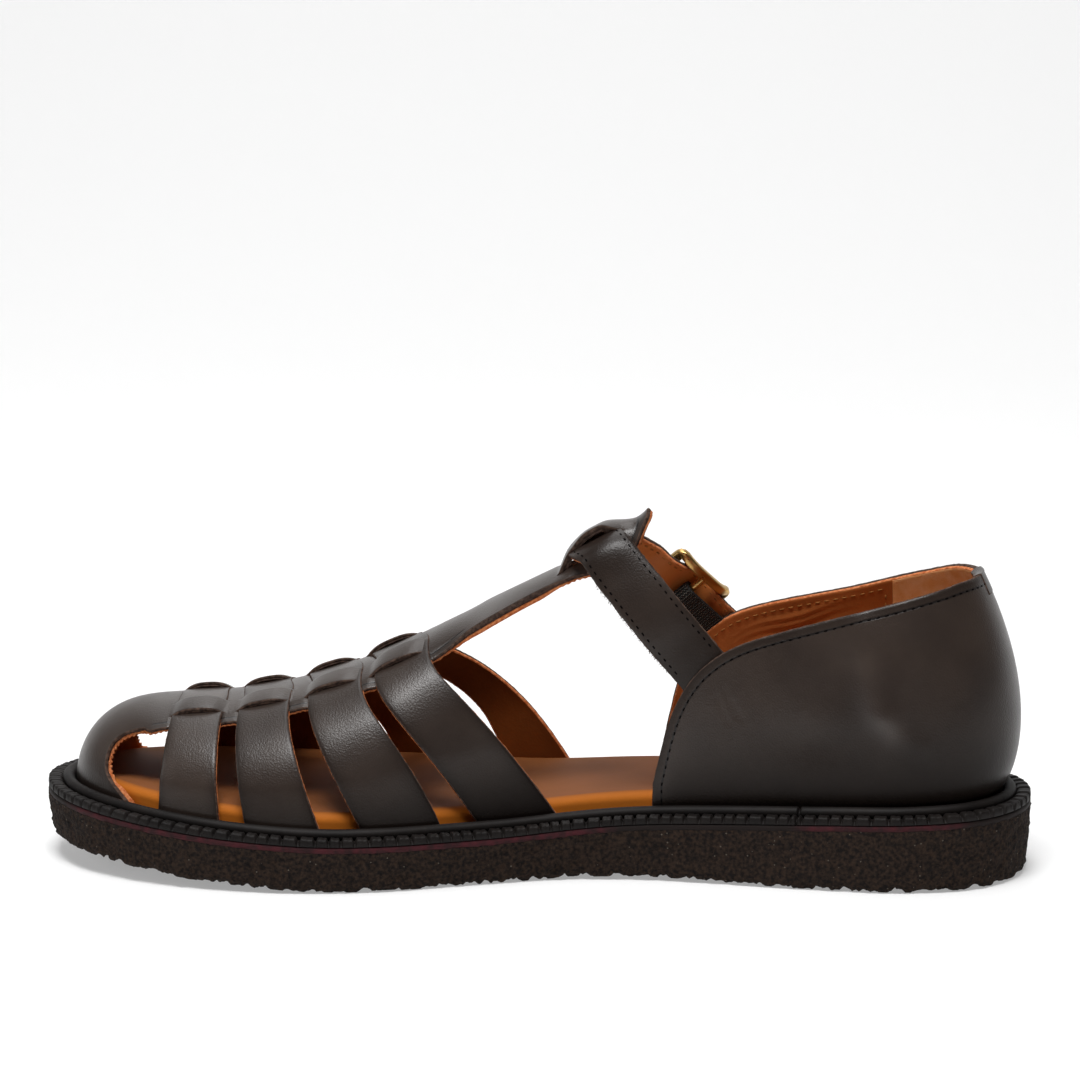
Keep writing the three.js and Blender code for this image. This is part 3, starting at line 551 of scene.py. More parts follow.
def waxed_calf(tree, place):
    painted_shade_and_sheen = node(tree, "Attribute", out="Fac", attribute_name="painted_shade_and_sheen")
    line = pressed_line(tree)
    tone = two_tones(tree, place, 18, "#392e28", "#453932")
    # Painted shade and painted sheen: near black where the mark is low, lighter and glossier where high
    shaded = marked(tree, "painted_shade_and_sheen", linear("#15100e"), tone)
    pores = node(tree, "TexVoronoi", {"Vector": place, "Scale": CALF_PORES})
    folds = node(tree, "TexNoise", {"Vector": place, "Scale": CALF_FOLDS, "Detail": 3.0})
    grain = node(tree, "Math", {0: pores, 1: folds}, operation="ADD")
    fine = node(tree, "Bump", {"Height": grain, "Strength": 0.5, "Distance": 0.09 * MM})
    groove = {"Height": line, "Strength": 1.0, "Distance": 0.06 * MM, "Normal": fine}
    sheen = node(tree, "TexNoise", {"Vector": place, "Scale": WAX_CLOUDS})
    line_colour = {0: line, 6: linear("#120d0b"), 7: shaded}
    return {
        "Base Color": node(tree, "Mix", line_colour, out=2, data_type="RGBA"),
        "Roughness": node(tree, "MapRange", {"Value": sheen, "To Min": 0.31, "To Max": 0.41}),
        "Specular IOR Level": node(tree, "MapRange", {"Value": painted_shade_and_sheen, "To Min": 0.03, "To Max": 0.6}),
        "Coat Weight": node(tree, "MapRange", {"Value": painted_shade_and_sheen, "To Min": 0.0, "To Max": 0.24}),
        "Normal": node(tree, "Bump", groove),
    }


# Leather of the footbed, burnished by wear: dull brown on top, glowing tan on the rolled edge.
# Its pores are drawn coarser than real ones, so that they show.
def burnished_leather(tree, place):
    top = grained(30, ("#784826", "#84512e"), "TexVoronoi", 1100, 0.1, 0.2)(tree, place)
    return {**top, "Base Color": marked(tree, "rolled_edge", top["Base Color"], linear("#bd6c22"))}


# Crepe rubber, rough from the knife: matt dark crumbs, and a pale chip here and there.
# Crumbs and cells are counted to a metre. A chip's half-width is given as a share of its cell's
# size, and one cell in five has a chip.
CREPE_CRUMBS = 650
CREPE_CELLS = 700
CHIP_REACH = 0.15
CHIP_RARITY = 0.8


def cut_crepe(tree, place):
    tones = ("#130d0c", "#382a21")
    rough = grained(1.0, tones, "TexNoise", CREPE_CRUMBS, 1.6, 1.0, Detail=6.0, Roughness=0.7)
    made = rough(tree, place)
    cell = node(tree, "TexVoronoi", {"Vector": place, "Scale": CREPE_CELLS})
    small = node(tree, "Math", {0: cell, 1: CHIP_REACH}, operation="LESS_THAN")
    pick = node(tree, "SeparateColor", {"Color": cell.node.outputs["Color"]})
    some = node(tree, "Math", {0: pick, 1: CHIP_RARITY}, operation="GREATER_THAN")
    chip = node(tree, "Math", {0: small, 1: some}, operation="MULTIPLY")
    chipped = {0: chip, 6: made["Base Color"], 7: linear("#625a51")}
    return {**made, "Base Color": node(tree, "Mix", chipped, out=2, data_type="RGBA")}


# Leather edge of the midsole, dyed burgundy: a dull red that is gone where the edge is worn
def dyed_edge(tree, place):
    dye = two_tones(tree, place, 2.2, "#45191f", "#2a1416")
    return {"Base Color": marked(tree, "worn", dye, linear("#1b1311"))}


# Elastic woven from black yarn over rubber: rows of small crowns, each a painted highlight
RIB_SPACING = 0.95
PICK_SPACING = 0.8


def woven_elastic(tree, place):
    along = node(tree, "Attribute", out="Fac", attribute_name="along_mm")
    across = node(tree, "Attribute", out="Fac", attribute_name="across_mm")
    rib = node(tree, "Math", {0: across, 1: 2 * math.pi / RIB_SPACING}, operation="MULTIPLY")
    ribs = node(tree, "Math", {0: rib}, operation="SINE")
    pick = node(tree, "Math", {0: along, 1: 2 * math.pi / PICK_SPACING}, operation="MULTIPLY")
    turn = node(tree, "Math", {0: pick, 1: ribs}, operation="ADD")
    picks = node(tree, "Math", {0: turn}, operation="SINE")
    weave = node(tree, "Math", {0: ribs, 1: picks}, operation="MULTIPLY")
    # Painted highlight: pale grey on the crowns of the weave
    crown = node(tree, "MapRange", {"Value": weave, "From Min": 0.55, "From Max": 0.95})
    yarn_and_highlight = {0: crown, 6: linear("#0e0d0d"), 7: linear("#8d897e")}
    return {
        "Base Color": node(tree, "Mix", yarn_and_highlight, out=2, data_type="RGBA"),
        "Normal": node(tree, "Bump", {"Height": weave, "Strength": 1.0, "Distance": 0.3 * MM}),
    }


# Brass, cast and tumbled: pale gold, bright but clouded by fingers in patches of a few millimetres
FINGER_CLOUDS = 350


def cast_brass(tree, place):
    dull = node(tree, "TexNoise", {"Vector": place, "Scale": FINGER_CLOUDS, "Detail": 3.0})
    return {"Roughness": node(tree, "MapRange", {"Value": dull, "To Min": 0.2, "To Max": 0.38})}


# Waxed thread: its twist breaks the light, drawn coarser than real so that it shows
TWISTS = 3000


def twisted_thread(tree, place):
    twist = node(tree, "TexNoise", {"Vector": place, "Scale": TWISTS})
    return {"Normal": node(tree, "Bump", {"Height": twist, "Strength": 0.5, "Distance": 0.2 * MM})}


MATT = {"Specular IOR Level": 0.2}
SATIN = {"Specular IOR Level": 0.3}
DULL = {"Specular IOR Level": 0.1}
DEAD_MATT = {"Specular IOR Level": 0.05}
CALF = finish("waxed_smooth_calf", waxed_calf, {"Coat Roughness": 0.22})
# Cut edges, left raw: matt fibres, dyed through in the calf and pale in the lining. The fibres are
# several times as coarse as real ones, so that they show.
dark_fibres = grained(1.1, ("#352822", "#5a473d"), "TexNoise", 2400, 0.3, 0.8, Detail=5.0)
DARK_EDGE = finish("cut_calf_edge", dark_fibres, {"Roughness": 0.85, **MATT})
tan_fibres = grained(1.0, ("#b65f31", "#dc8d5c"), "TexNoise", 2200, 0.4, 0.9, Detail=5.0)
TAN_EDGE = finish("cut_lining_edge", tan_fibres, {"Roughness": 0.9, **MATT})
# Lining leather, tanned and left undyed: satin tan. The straps take a darker, duller copy, painted shade.
# Its pores are twice as coarse as real ones, so that they show.
plain_lining = grained(26, ("#ab612b", "#bd6f35"), "TexVoronoi", 1300, 0.1, 0.25)
LINING = finish("tan_lining_leather", plain_lining, {"Roughness": 0.6, **SATIN})
shaded_copy_of_lining = grained(26, ("#602f0b", "#71390f"), "TexVoronoi", 1300, 0.1, 0.25)
SHADED_STRAP_LINING = finish("strap_lining_painted_shade", shaded_copy_of_lining, {"Roughness": 0.7, **MATT})
# Suede, buffed to a nap: soft, pale and without gloss. The nap is coarser than real, so that it shows.
nap = grained(3, ("#f0a868", "#f8bc84"), "TexNoise", 1700, 0.6, 0.9, Detail=6.0, Roughness=0.7)
SUEDE = finish("buffed_suede_grip", nap, {"Roughness": 0.95, **MATT})
FOOTBED = finish("burnished_footbed_leather", burnished_leather, {"Roughness": 0.65, **DULL})
CREPE = finish("natural_crepe_rubber", cut_crepe, {"Roughness": 0.9, **MATT})
MIDSOLE = finish("dyed_midsole_edge", dyed_edge, {"Roughness": 0.7, **MATT})
# Welt rubber, moulded and wheeled: almost black, satin, with the faint skin of its mould
mould_skin = grained(9, ("#100c0b", "#191412"), "TexNoise", 700, 0.2, 0.3, Detail=4.0)
WELT = finish("moulded_welt_rubber", mould_skin, {"Roughness": 0.6, **MATT})
ELASTIC = finish("woven_elastic", woven_elastic, {"Roughness": 0.85})
BRASS = finish("cast_brass", cast_brass, {"Base Color": linear("#c9a566"), "Metallic": 1.0})
black = {"Base Color": linear("#080606"), "Roughness": 1.0, **DEAD_MATT}
DARK_THREAD = finish("waxed_black_thread", twisted_thread, black)
tan = {"Base Color": linear("#9a6430"), "Roughness": 0.8, **MATT}
TAN_THREAD = finish("waxed_tan_thread", twisted_thread, tan)

# Sole, welt and footbed


def plan_rings(stations, levels):
    """Rings round the shoe: each one's way out, share of the crepe's height, and rise over that."""
    turn = np.arange(stations) / stations
    rings = []
    for out, share, rise in levels:
        x, y = rim(turn, out)
        rings.append(np.stack([x, y, mix(sole_bottom(x), crepe_top(x), share) + rise], -1))
    return np.stack(rings, 1)


def across_fill(ring, places):
    """A grid over the inside of a ring, from the toe to the heel and side to side."""
    half = len(ring) // 2
    near = ring[: half + 1]
    far = ring[-np.arange(half + 1)]
    share = np.linspace(0, 1, places)[None, :, None]
    return near[:, None, :] * (1 - share) + far[:, None, :] * share


def off_sides(places):
    """How many places each of a row lies in from the nearer end."""
    return np.minimum(np.arange(places), np.arange(places)[::-1])[None, :]


def ring_part(rings, over, under=None):
    """Rings round the shoe, closed above and below by grids."""
    parts = [(rings, grid_faces(*rings.shape[:2], ring=True), 0)]
    if under is not None:
        parts.append((under, grid_faces(*under.shape[:2])[:, ::-1], 0))
    return joined(parts + [grid_part(over)])


# Lumps of the crepe as (height, size): on its wall, along its ragged lower edge and underneath
WALL_CRUMBS = ((0.5, 2.6), (0.35, 0.95))
EDGE_CRUMBS = ((1.7, 3.4), (1.2, 1.4))
TREAD_CRUMBS = ((0.35, 2.6), (0.25, 7.0))
RAGGED_HEIGHT = 4.5
RAGGED_RISE = 0.5


def crepe_sole():
    """Thick block whose wall leans out to the welt, crumbled all over and torn along its lower edge."""
    places = 30
    levels = [(WELT_REACH - 3.4, 0, 0), (WELT_REACH - 2.2, 0, 0.1), (WELT_REACH - 1.5, 0, 0.5)]
    levels += [(WELT_REACH - 1 + s, s, mix(1.2, 0.1, s)) for s in np.linspace(0, 1, 18)]
    levels += [(WELT_REACH - 0.6, 1, 0.3)]
    rings = plan_rings(1120, levels)
    out = unit((rings - rings.mean(axis=(0, 1))) * [1, 1, 0])
    rings += out * lumpy(rings, *WALL_CRUMBS)[..., None]
    low = smooth(1 - (rings[..., 2] - sole_bottom(rings[..., 0])) / RAGGED_HEIGHT)
    rings[..., 2] += low * np.maximum(lumpy(rings, *EDGE_CRUMBS) + RAGGED_RISE, 0)
    under = across_fill(rings[:, 0], places)
    under[..., 2] += np.where(off_sides(places) > 0, np.abs(lumpy(under, *TREAD_CRUMBS)), 0)
    part = ring_part(rings, across_fill(rings[:, -1], 4), under)
    make_piece("crepe_sole", part, [CREPE], "outsole")


# Lengths between which the midsole's dye has worn off: at the heel, the waist and the toe
WORN_HEEL = 24
WORN_WAIST = (57, 118)
WORN_TOE = 252


def midsole_edge():
    """Thin layer between crepe and welt, its dye worn off at the waist, the heel and the toe."""
    low, high = -0.2, 1.65
    profile = [(1.5, 0), (0.35, 0), (0, 0.25), (0, 0.75), (0.35, 1), (1.5, 1)]
    levels = [(WELT_REACH - inset, 1, mix(low, high, share)) for inset, share in profile]
    rings = plan_rings(560, levels)
    over = across_fill(rings[:, -1], 3)
    part = ring_part(rings, over, across_fill(rings[:, 0], 3))
    x = part[0][:, 0]
    waist = smooth((WORN_WAIST[1] - x) / 10) * smooth((x - WORN_WAIST[0]) / 8)
    worn = waist + smooth((WORN_HEEL - x) / 10) + smooth((x - WORN_TOE) / 9)
    # The top face, which shows only in the gap beside the footbed, has no dye
    worn[-over.size // 3 :] = 1
    make_piece("midsole_edge", part, [MIDSOLE], "midsole", {"worn": worn})


BEAD_OUT = 1.95
BEAD_UP = 2.3
BEAD_RADIUS = 1.65
# Ribbed rim of the welt from the bead outward: way out, rise, and how much the ribs mark it
WELT_RIM = [
    (3.35, 1.2, 0.1), (3.7, 1.8, 0.5), (4.4, 2.4, 0.9), (5.4, 2.5, 1), (6.4, 2.5, 1), (7.0, 2.45, 1),
    (7.35, 2.25, 1), (7.5, 1.9, 0.95), (7.55, 1.3, 0.7), (7.55, 0.8, 0.3), (7.4, 0.35, 0),
]
RIM_FACE = 6.8
FACE_INSET = 0.55
# Where the ends of the welt meet, and how wide the cut between them is
WELT_BUTT = 61.3
BUTT_WIDTH = 0.3


def storm_welt():
    """Round bead against the upper, and a flat rim wheeled with ribs that wander a little."""
    ribs = round((FEATHER_LENGTH + 2 * math.pi * WELT_REACH) / WELT_PITCH)
    stations = ribs * 14
    turn = np.arange(stations) / stations
    wander = 0.12 * np.sin(2 * np.pi * 23 * turn) + 0.1 * np.sin(2 * np.pi * 37 * turn)
    place = np.mod(turn * ribs + wander, 1) - 0.5
    rib = 1 - hump(np.abs(place) ** 2, 0.013) - 0.2 * np.abs(place - 0.2)
    butt = hump((turn - rim_turn(WELT_BUTT, 1)) * FEATHER_LENGTH, BUTT_WIDTH)
    section = [(GAP, 0, 0), (GAP, 1.4, 0)]
    for angle in np.radians(np.linspace(185, -58, 15)):
        out, up = BEAD_RADIUS * math.cos(angle), BEAD_RADIUS * math.sin(angle)
        section.append((BEAD_OUT + out, BEAD_UP + up, 0))
    levels = []
    for out, rise, ribbed in section + WELT_RIM:
        groove = ribbed * RIB_DEPTH * (1 - rib)
        inset = groove * (FACE_INSET if out > RIM_FACE else 0)
        cut = butt * (rise > 0.4)
        up = np.maximum(rise - groove - 1.1 * cut, 0)
        levels.append((out - inset - 0.9 * cut, 1, SEAT_RISE + up))
    rings = plan_rings(stations, levels)
    faces = grid_faces(*rings.shape[:2], ring=True)[:, ::-1]
    make_piece("storm_welt", joined([(rings, faces, 0)]), [WELT], "welt")


def footbed():
    """Padded tan leather, rolled over at its edge and trodden in under the ball and the heel."""
    inset, roll, stations, places = 3.1, 2.6, 420, 40
    side = SEAT_RISE + INSOLE_THICK - roll
    levels = [(-inset, 1, SEAT_RISE), (-inset, 1, side)]
    for angle in np.radians(np.linspace(15, 90, 6)):
        levels.append((-inset - roll * (1 - math.cos(angle)), 1, side + roll * math.sin(angle)))
    rings = plan_rings(stations, levels)
    top = across_fill(rings[:, -1], places)
    x, y = top[..., 0], top[..., 1]
    ball = hump(np.hypot((x - 205) / 34, (y - 2) / 24), 1)
    heel = hump(np.hypot((x - 40) / 26, y / 17), 1)
    top[..., 2] -= 0.5 * (ball + heel) * smooth(off_sides(places) / 6)
    part = ring_part(rings, top)
    round_edge = np.tile([1, 1, 1, 1, 0.9, 0.7, 0.4, 0.1], stations)
    rolled = np.concatenate([round_edge, np.zeros(top.size // 3)])
    make_piece("footbed", part, [FOOTBED], "insole", {"rolled_edge": rolled})


# Upper

NO_LINE = 9.0


def leather_piece(name, part, painted_shade_and_sheen, line=NO_LINE, lining=LINING, edge=TAN_EDGE):
    """A cut piece of the upper, with the painted shade and sheen of its faces and how far from a pressed
    line.
    """
    count = len(part[0])
    line = np.broadcast_to(line, np.shape(painted_shade_and_sheen)).ravel()
    marks = {"from_line": filled(line, count, NO_LINE), "painted_shade_and_sheen": filled(painted_shade_and_sheen.ravel(), count, 0.5)}
    make_piece(name, part, [CALF, DARK_EDGE, edge, lining, SUEDE], "upper", marks)


def bow(station, front, rear):
    """Arch of a band between the two ends of its slit."""
    s = (station - rear) / (front - rear)
    return np.where((s > 0) & (s < 1), 1 - np.abs(2 * s - 1) ** 2.8, 0)


def slit_shares(station, share):
    """Shares of the spine's half-width; the slits lie further in on the head of the T-bar."""
    vamp = smooth((station - HEAD_FRONT) / 15)
    inner = mix(0.6 * HEAD_SLIT, BAND_INNER, vamp)
    outer = mix(HEAD_SLIT, BAND_OUTER, vamp)
    size = np.abs(share)
    middle = size * inner / BAND_INNER
    band = inner + (size - BAND_INNER) / (BAND_OUTER - BAND_INNER) * (outer - inner)
    wing = outer + (size - BAND_OUTER) / (1 - BAND_OUTER) * (1 - outer)
    moved = np.where(size < BAND_INNER, middle, np.where(size < BAND_OUTER, band, wing))
    return np.sign(share) * moved


def spine_level(station, share, zone):
    """How far a strip of the spine stands off the last. Slits part the strips where these differ."""
    crossed = CROSSED_LEVEL[zone] * sum(bow(station, *strap["head"]) for strap in STRAPS)
    arch = np.sin(np.pi / 2 * np.clip((HEAD_FRONT - station) / HEAD_EASE, 0, 1))
    arch = HEAD_LIFT * arch * smooth((station - HEAD_TIP + 0.5) / 10)
    if zone == "wing":
        outside = np.abs(share) - BAND_OUTER
        tab = smooth((station - TAB_REAR) / 10) * smooth((TAB_FRONT - station) / 6)
        droop = smooth(outside / (1 - BAND_OUTER)) * smooth((station - HEAD_TIP) / 4)
        tip = (1 - droop) * (1 - smooth((station - HEAD_REAR) / 2.4))
        return arch * tip + crossed - TAB_SINK * tab * smooth(outside / 0.12)
    side = share / BAND_OUTER
    curl = (HEAD_CURL[0] * side + HEAD_CURL[1] * side**2) * smooth((station - HEAD_REAR + 1) / 5)
    return crossed + arch + curl * smooth((HEAD_FRONT - 2 - station) / HEAD_EASE)


def toe_point(side_share, reach_of):
    """Point of the toe cap on the rib at side_share (-1 lateral end, 0 tip, 1 medial end)."""
    medial, lateral = rim_turn(TOE_CENTRE, 1), 1 - rim_turn(TOE_CENTRE, -1)
    x, y = rim(side_share * np.where(side_share > 0, medial, lateral))
    reach = reach_of(np.hypot(x - TOE_CENTRE, y))
    fullness = mix(LATERAL_FULLNESS, MEDIAL_FULLNESS, smooth((side_share + 1) / 2))
    z = mix(seat(x), ridge(TOE_CENTRE), rise_at(reach, fullness))
    return np.stack([mix(TOE_CENTRE, x, reach), y * reach, z], -1)


CROWN_DRAW = 1.8


def toe_crown(side_share):
    """Reach of the cap's crown, drawn in above the toe opening."""
    round_the_side = np.abs(side_share)
    drawn_in = smooth((1 - round_the_side) / 0.14) * smooth((round_the_side - 0.45) / 0.2)
    return spine_half(TOE_CENTRE) - CROWN_DRAW * drawn_in


def toe_wall_reach(wing, down):
    return np.sin(mix(np.arcsin(wing), np.pi / 2, down))


def toe_cap_edge(down, side):
    """Share of the way round to the toe opening's end at which each row of the cap stops."""
    edge = column(TOE_EDGE, "forward")
    medial, corner = (toe_point(np.array(k), lambda length: toe_crown(k) / length) for k in (1.0, side))
    drop = medial[2] - corner[2]
    near, far = np.zeros_like(down), np.ones_like(down)
    for _ in range(40):
        middle = (near + far) / 2
        p = toe_point(side * middle, lambda length: toe_wall_reach(toe_crown(middle) / length, down))
        inside = p[..., 0] > edge(p[..., 2] + drop)
        near, far = np.where(inside, middle, near), np.where(inside, far, middle)
    return near


# Places across half of the spine, from its edge to its middle, with one at each slit
SPINE_PLACES = np.concatenate(
    [
        np.linspace(1, BAND_OUTER, 7)[:-1],
        np.linspace(BAND_OUTER, BAND_INNER, 12)[:-1],
        np.linspace(BAND_INNER, 0, 12),
    ]
)
LINE_INSET = 1.7
WEAVE_LINE_REAR = 152
TIP_LINE_FRONT = 112
# Rounded tip of the head: how far back it reaches at each half-width
TIP_HALF = [4.6, 6.6, 8.2]
TIP_REACH = [104, 105, 106.5]


def spine_strips():
    """Wings, bands and middle of the spine as (part, line) pairs, each at its own level."""
    stations = np.linspace(HEAD_TIP, TOE_CENTRE, 176)[:, None]
    shares = np.concatenate([-SPINE_PLACES, SPINE_PLACES[-2::-1]])
    base = spine_face(stations, slit_shares(stations, shares[None, :]))
    edges = [-1, -BAND_OUTER, -BAND_INNER, BAND_INNER, BAND_OUTER, 1]
    for low, high, zone in zip(edges, edges[1:], ["wing", "band", "middle", "band", "wing"]):
        at = np.flatnonzero((shares > low - 1e-6) & (shares < high + 1e-6))
        strip = raised(base, spine_level(stations, shares[None, :], zone))[:, at]
        off = np.abs(base[:, at, 1])
        line = np.where(stations > WEAVE_LINE_REAR, spine_half(stations) - off - LINE_INSET, NO_LINE)
        from_tip = stations - np.interp(off, TIP_HALF, TIP_REACH) - LINE_INSET
        line = np.where(stations < TIP_LINE_FRONT, from_tip, line)
        yield grid_part(strip), line.ravel()


def toe_cap():
    """Crown and wall of the toe cap as (part, line) pairs; the wall stops at the toe openings."""
    down = np.linspace(0, 1, 56) ** 1.9
    stop = {side: toe_cap_edge(down, side)[:, None] for side in (1, -1)}
    round_toe = np.linspace(-1, 1, 161)
    share = np.where(round_toe > 0, stop[1], stop[-1]) * round_toe
    over_opening = [np.linspace(-1, share[0, 0], 9)[:-1], np.linspace(share[0, -1], 1, 9)[1:]]
    crown_share = np.concatenate([over_opening[0], share[0], over_opening[1]])[None, :]
    inward = SPINE_PLACES[::-1, None]
    crown = toe_point(crown_share, lambda length: inward * toe_crown(crown_share) / length)
    wall = toe_point(share, lambda length: toe_wall_reach(toe_crown(share) / length, down[:, None]))
    for points in (crown, wall):
        yield grid_part(points), np.full(points.size // 3, NO_LINE)


WEAVE_THICK = 1.4
BAR_THICK = 2.9
HEAD_THICK = 2.0
TOE_THICK = 2.1


def toe_cap_and_spine():
    """One leather from the toe to the tip of the T-bar, with a scalloped lining."""
    parts, lines = zip(*spine_strips(), *toe_cap())
    points, faces, _ = joined(parts)
    points, faces, line = welded(points, faces, np.concatenate(lines))
    length = points[:, 0]
    thick = mix(WEAVE_THICK, BAR_THICK, smooth((WEAVE_REAR - length) / 12))
    thick = thick + (HEAD_THICK - BAR_THICK) * smooth((134 - length) / 7)
    thick = thick + (TOE_THICK - WEAVE_THICK) * smooth((length - 232) / 8)
    reach = mix(0.2, 0.55, smooth((length - 110) / 8)) + 0.4 * smooth((length - TOE_CENTRE) / 5)
    part = cut_leather(points, thick, faces, lining_reach=reach, fuzz=0.16, scallop=0.5)
    # Painted shade: from the front of the weave forward, the leather darkens towards the welt
    low = smooth((points[:, 2] - seat(length)) / 17)
    painted_shade_and_sheen = mix(0.2, 0.65, np.where(length > 200, low, 1.0))
    leather_piece("toe_cap_and_spine", part, painted_shade_and_sheen, line)


STRAP_THICK = 1.55
# How much narrower a strap is than its slits at each edge, and the share of the half-width at
# which it has come to its head
STRAP_EASE = 0.7
HEAD_REACH = 0.5
# Painted shade at each strap's feet and painted sheen on its crest, from the toe; the first is brightest
STRAP_FOOT_PAINTED_LIGHT = np.linspace(0.4, 0, len(STRAPS))
STRAP_CREST_PAINTED_LIGHT = [0.85, 0.65, 0.65, 0.65]


def cross_strap(number, row):
    """Strap over the sunk wings and middle of the spine, and under its two bands."""
    angle = np.radians(np.linspace(-90, 90, 190))
    side = np.where(angle < 0, -1, 1)[:, None]
    reach = np.abs(np.sin(angle))[:, None]
    across = np.linspace(0, 1, 22)[None, :]
    # From 0 at the feet to 1 at the head, with a soft turn there
    climb = rise_at(reach, fullness_of(side)) / rise_at(HEAD_REACH, fullness_of(side))
    climb = np.maximum(0.5 * (climb + 1 - np.sqrt((climb - 1) ** 2 + 0.01)), 0)
    climb = climb ** np.where(side > 0, mix(*row["medial"], across), mix(*row["lateral"], across))
    straight = mix(row["head"][0] - STRAP_EASE, row["head"][1] + STRAP_EASE, across)
    head = straight + slant(straight, side * reach * half_width(straight, side))
    x = mix(mix(*row["foot"], across), head, climb)
    base = last_face(x, reach, side)
    half = spine_half(straight)
    share = np.abs(base[..., 1]) / half
    # The strap lies lowest in the middle, comes up under the bands and again over the wings
    over_wing = smooth((share - BAND_OUTER) * half / 3.4 + 0.35)
    under_band = smooth((share - BAND_INNER) * half / 3 + 0.5)
    level = 0.3 + 0.25 * under_band + 0.1 * over_wing
    off_middle = np.abs(2 * across - 1)
    level = level * smooth((1 - reach) / 0.06) - 0.15 * off_middle**4
    part = cut_leather(raised(base, level), STRAP_THICK, lining_reach=0.45)
    # Painted shade: darker towards the feet and along both edges, with a painted sheen on the crest
    low = (base[..., 2] - seat(x)) / (ridge(x) - seat(x))
    painted_shade_and_sheen = mix(STRAP_FOOT_PAINTED_LIGHT[number - 1], STRAP_CREST_PAINTED_LIGHT[number - 1], smooth(low / 0.55))
    painted_shade_and_sheen = painted_shade_and_sheen * (1 - 0.5 * off_middle**6)
    leather_piece(f"cross_strap_{number}", part, painted_shade_and_sheen, lining=SHADED_STRAP_LINING)


# Soft forms of the medial quarter as runs of (length, height): edge of the counter, its turn to the
# heel, and fine folds
COUNTER_EDGE = [(46.4, 70), (44.4, 60), (42.9, 53), (40.7, 47)]
COUNTER_TURN = [(40.7, 47), (37.2, 42.8), (32.6, 39.7), (28.9, 38.4)]
FINE_FOLDS = [
    [(84, 50), (81, 43)], [(82, 52), (79, 45)], [(79.5, 49), (77.5, 44)], [(56, 66), (54, 60)],
]
GRIP_FRONT = 38.4
HEEL_BEND = 24
QUARTER_THICK = 2.0
GRIP_THICK = 0.5
TUCKS_MIDDLE = 65
TUCK_DROPS = (4.4, 6.6, 9.4)
QUARTER_LINE = 2.3


def quarter_turns():
    """Stations of the quarters, closer together where the front edge is steep."""
    front = mix(QUARTER_FRONT, HEEL_BEND, np.linspace(0, 1, 105) ** 1.6)
    medial, lateral = rim_turn(front, 1), rim_turn(front, -1)[::-1]
    heel = np.linspace(medial[-1], lateral[0], 74)[1:-1]
    return np.concatenate([medial, heel, lateral])


def off_run(x, z, path):
    """Distance from a smooth run through (x, z) points."""
    run = curve_through(path, False, 60)
    return np.min(np.hypot(x[..., None] - run[:, 0], z[..., None] - run[:, 1]), -1)


def quarter_creases(x, z, medial):
    """Soft forms the photo shows in the medial quarter: the counter's edge and fine folds."""
    counter = 0.8 * hump(off_run(x, z, COUNTER_EDGE), 4.2) + 0.2 * hump(off_run(x, z, COUNTER_TURN), 3)
    hollow = 0.7 * hump(np.hypot((x - 58) / 13, (z - 38) / 7), 1)
    flank = 0.5 * hump(np.hypot((x - 55) / 6, (z - 54) / 12), 1)
    folds = 0.1 * sum(hump(off_run(x, z, path), 0.6) for path in FINE_FOLDS)
    return np.where(medial, counter - hollow - flank - folds, 0)


def quarter_surface(turn, height):
    """Face of the quarters with their creases, and the outward directions of the plain form."""
    base = quarter_face(turn, height)
    beside = quarter_face(turn + 0.0005, height) - quarter_face(turn - 0.0005, height)
    away = unit(np.cross(beside, quarter_face(turn, height + 0.3) - quarter_face(turn, height - 0.3)))
    level = quarter_creases(base[..., 0], base[..., 2], np.mod(turn, 1) < HEEL_TURN)
    return base + away * level[..., None], away


def quarter_rim(turns):
    """Free edge of the quarters laid flat: up the front edge, round the top line and down again."""
    x = rim(turns)[0]
    run = np.stack([turns * FEATHER_LENGTH, by_side(turns, quarter_edge, x)], -1)
    rise = np.linspace(0, 1, 40, endpoint=False)[:, None]
    fronts = [mix(run[k] * [1, 0] + [0, seat(x[k])], run[k], rise) for k in (0, -1)]
    return np.vstack([fronts[0], run, fronts[1][::-1]])


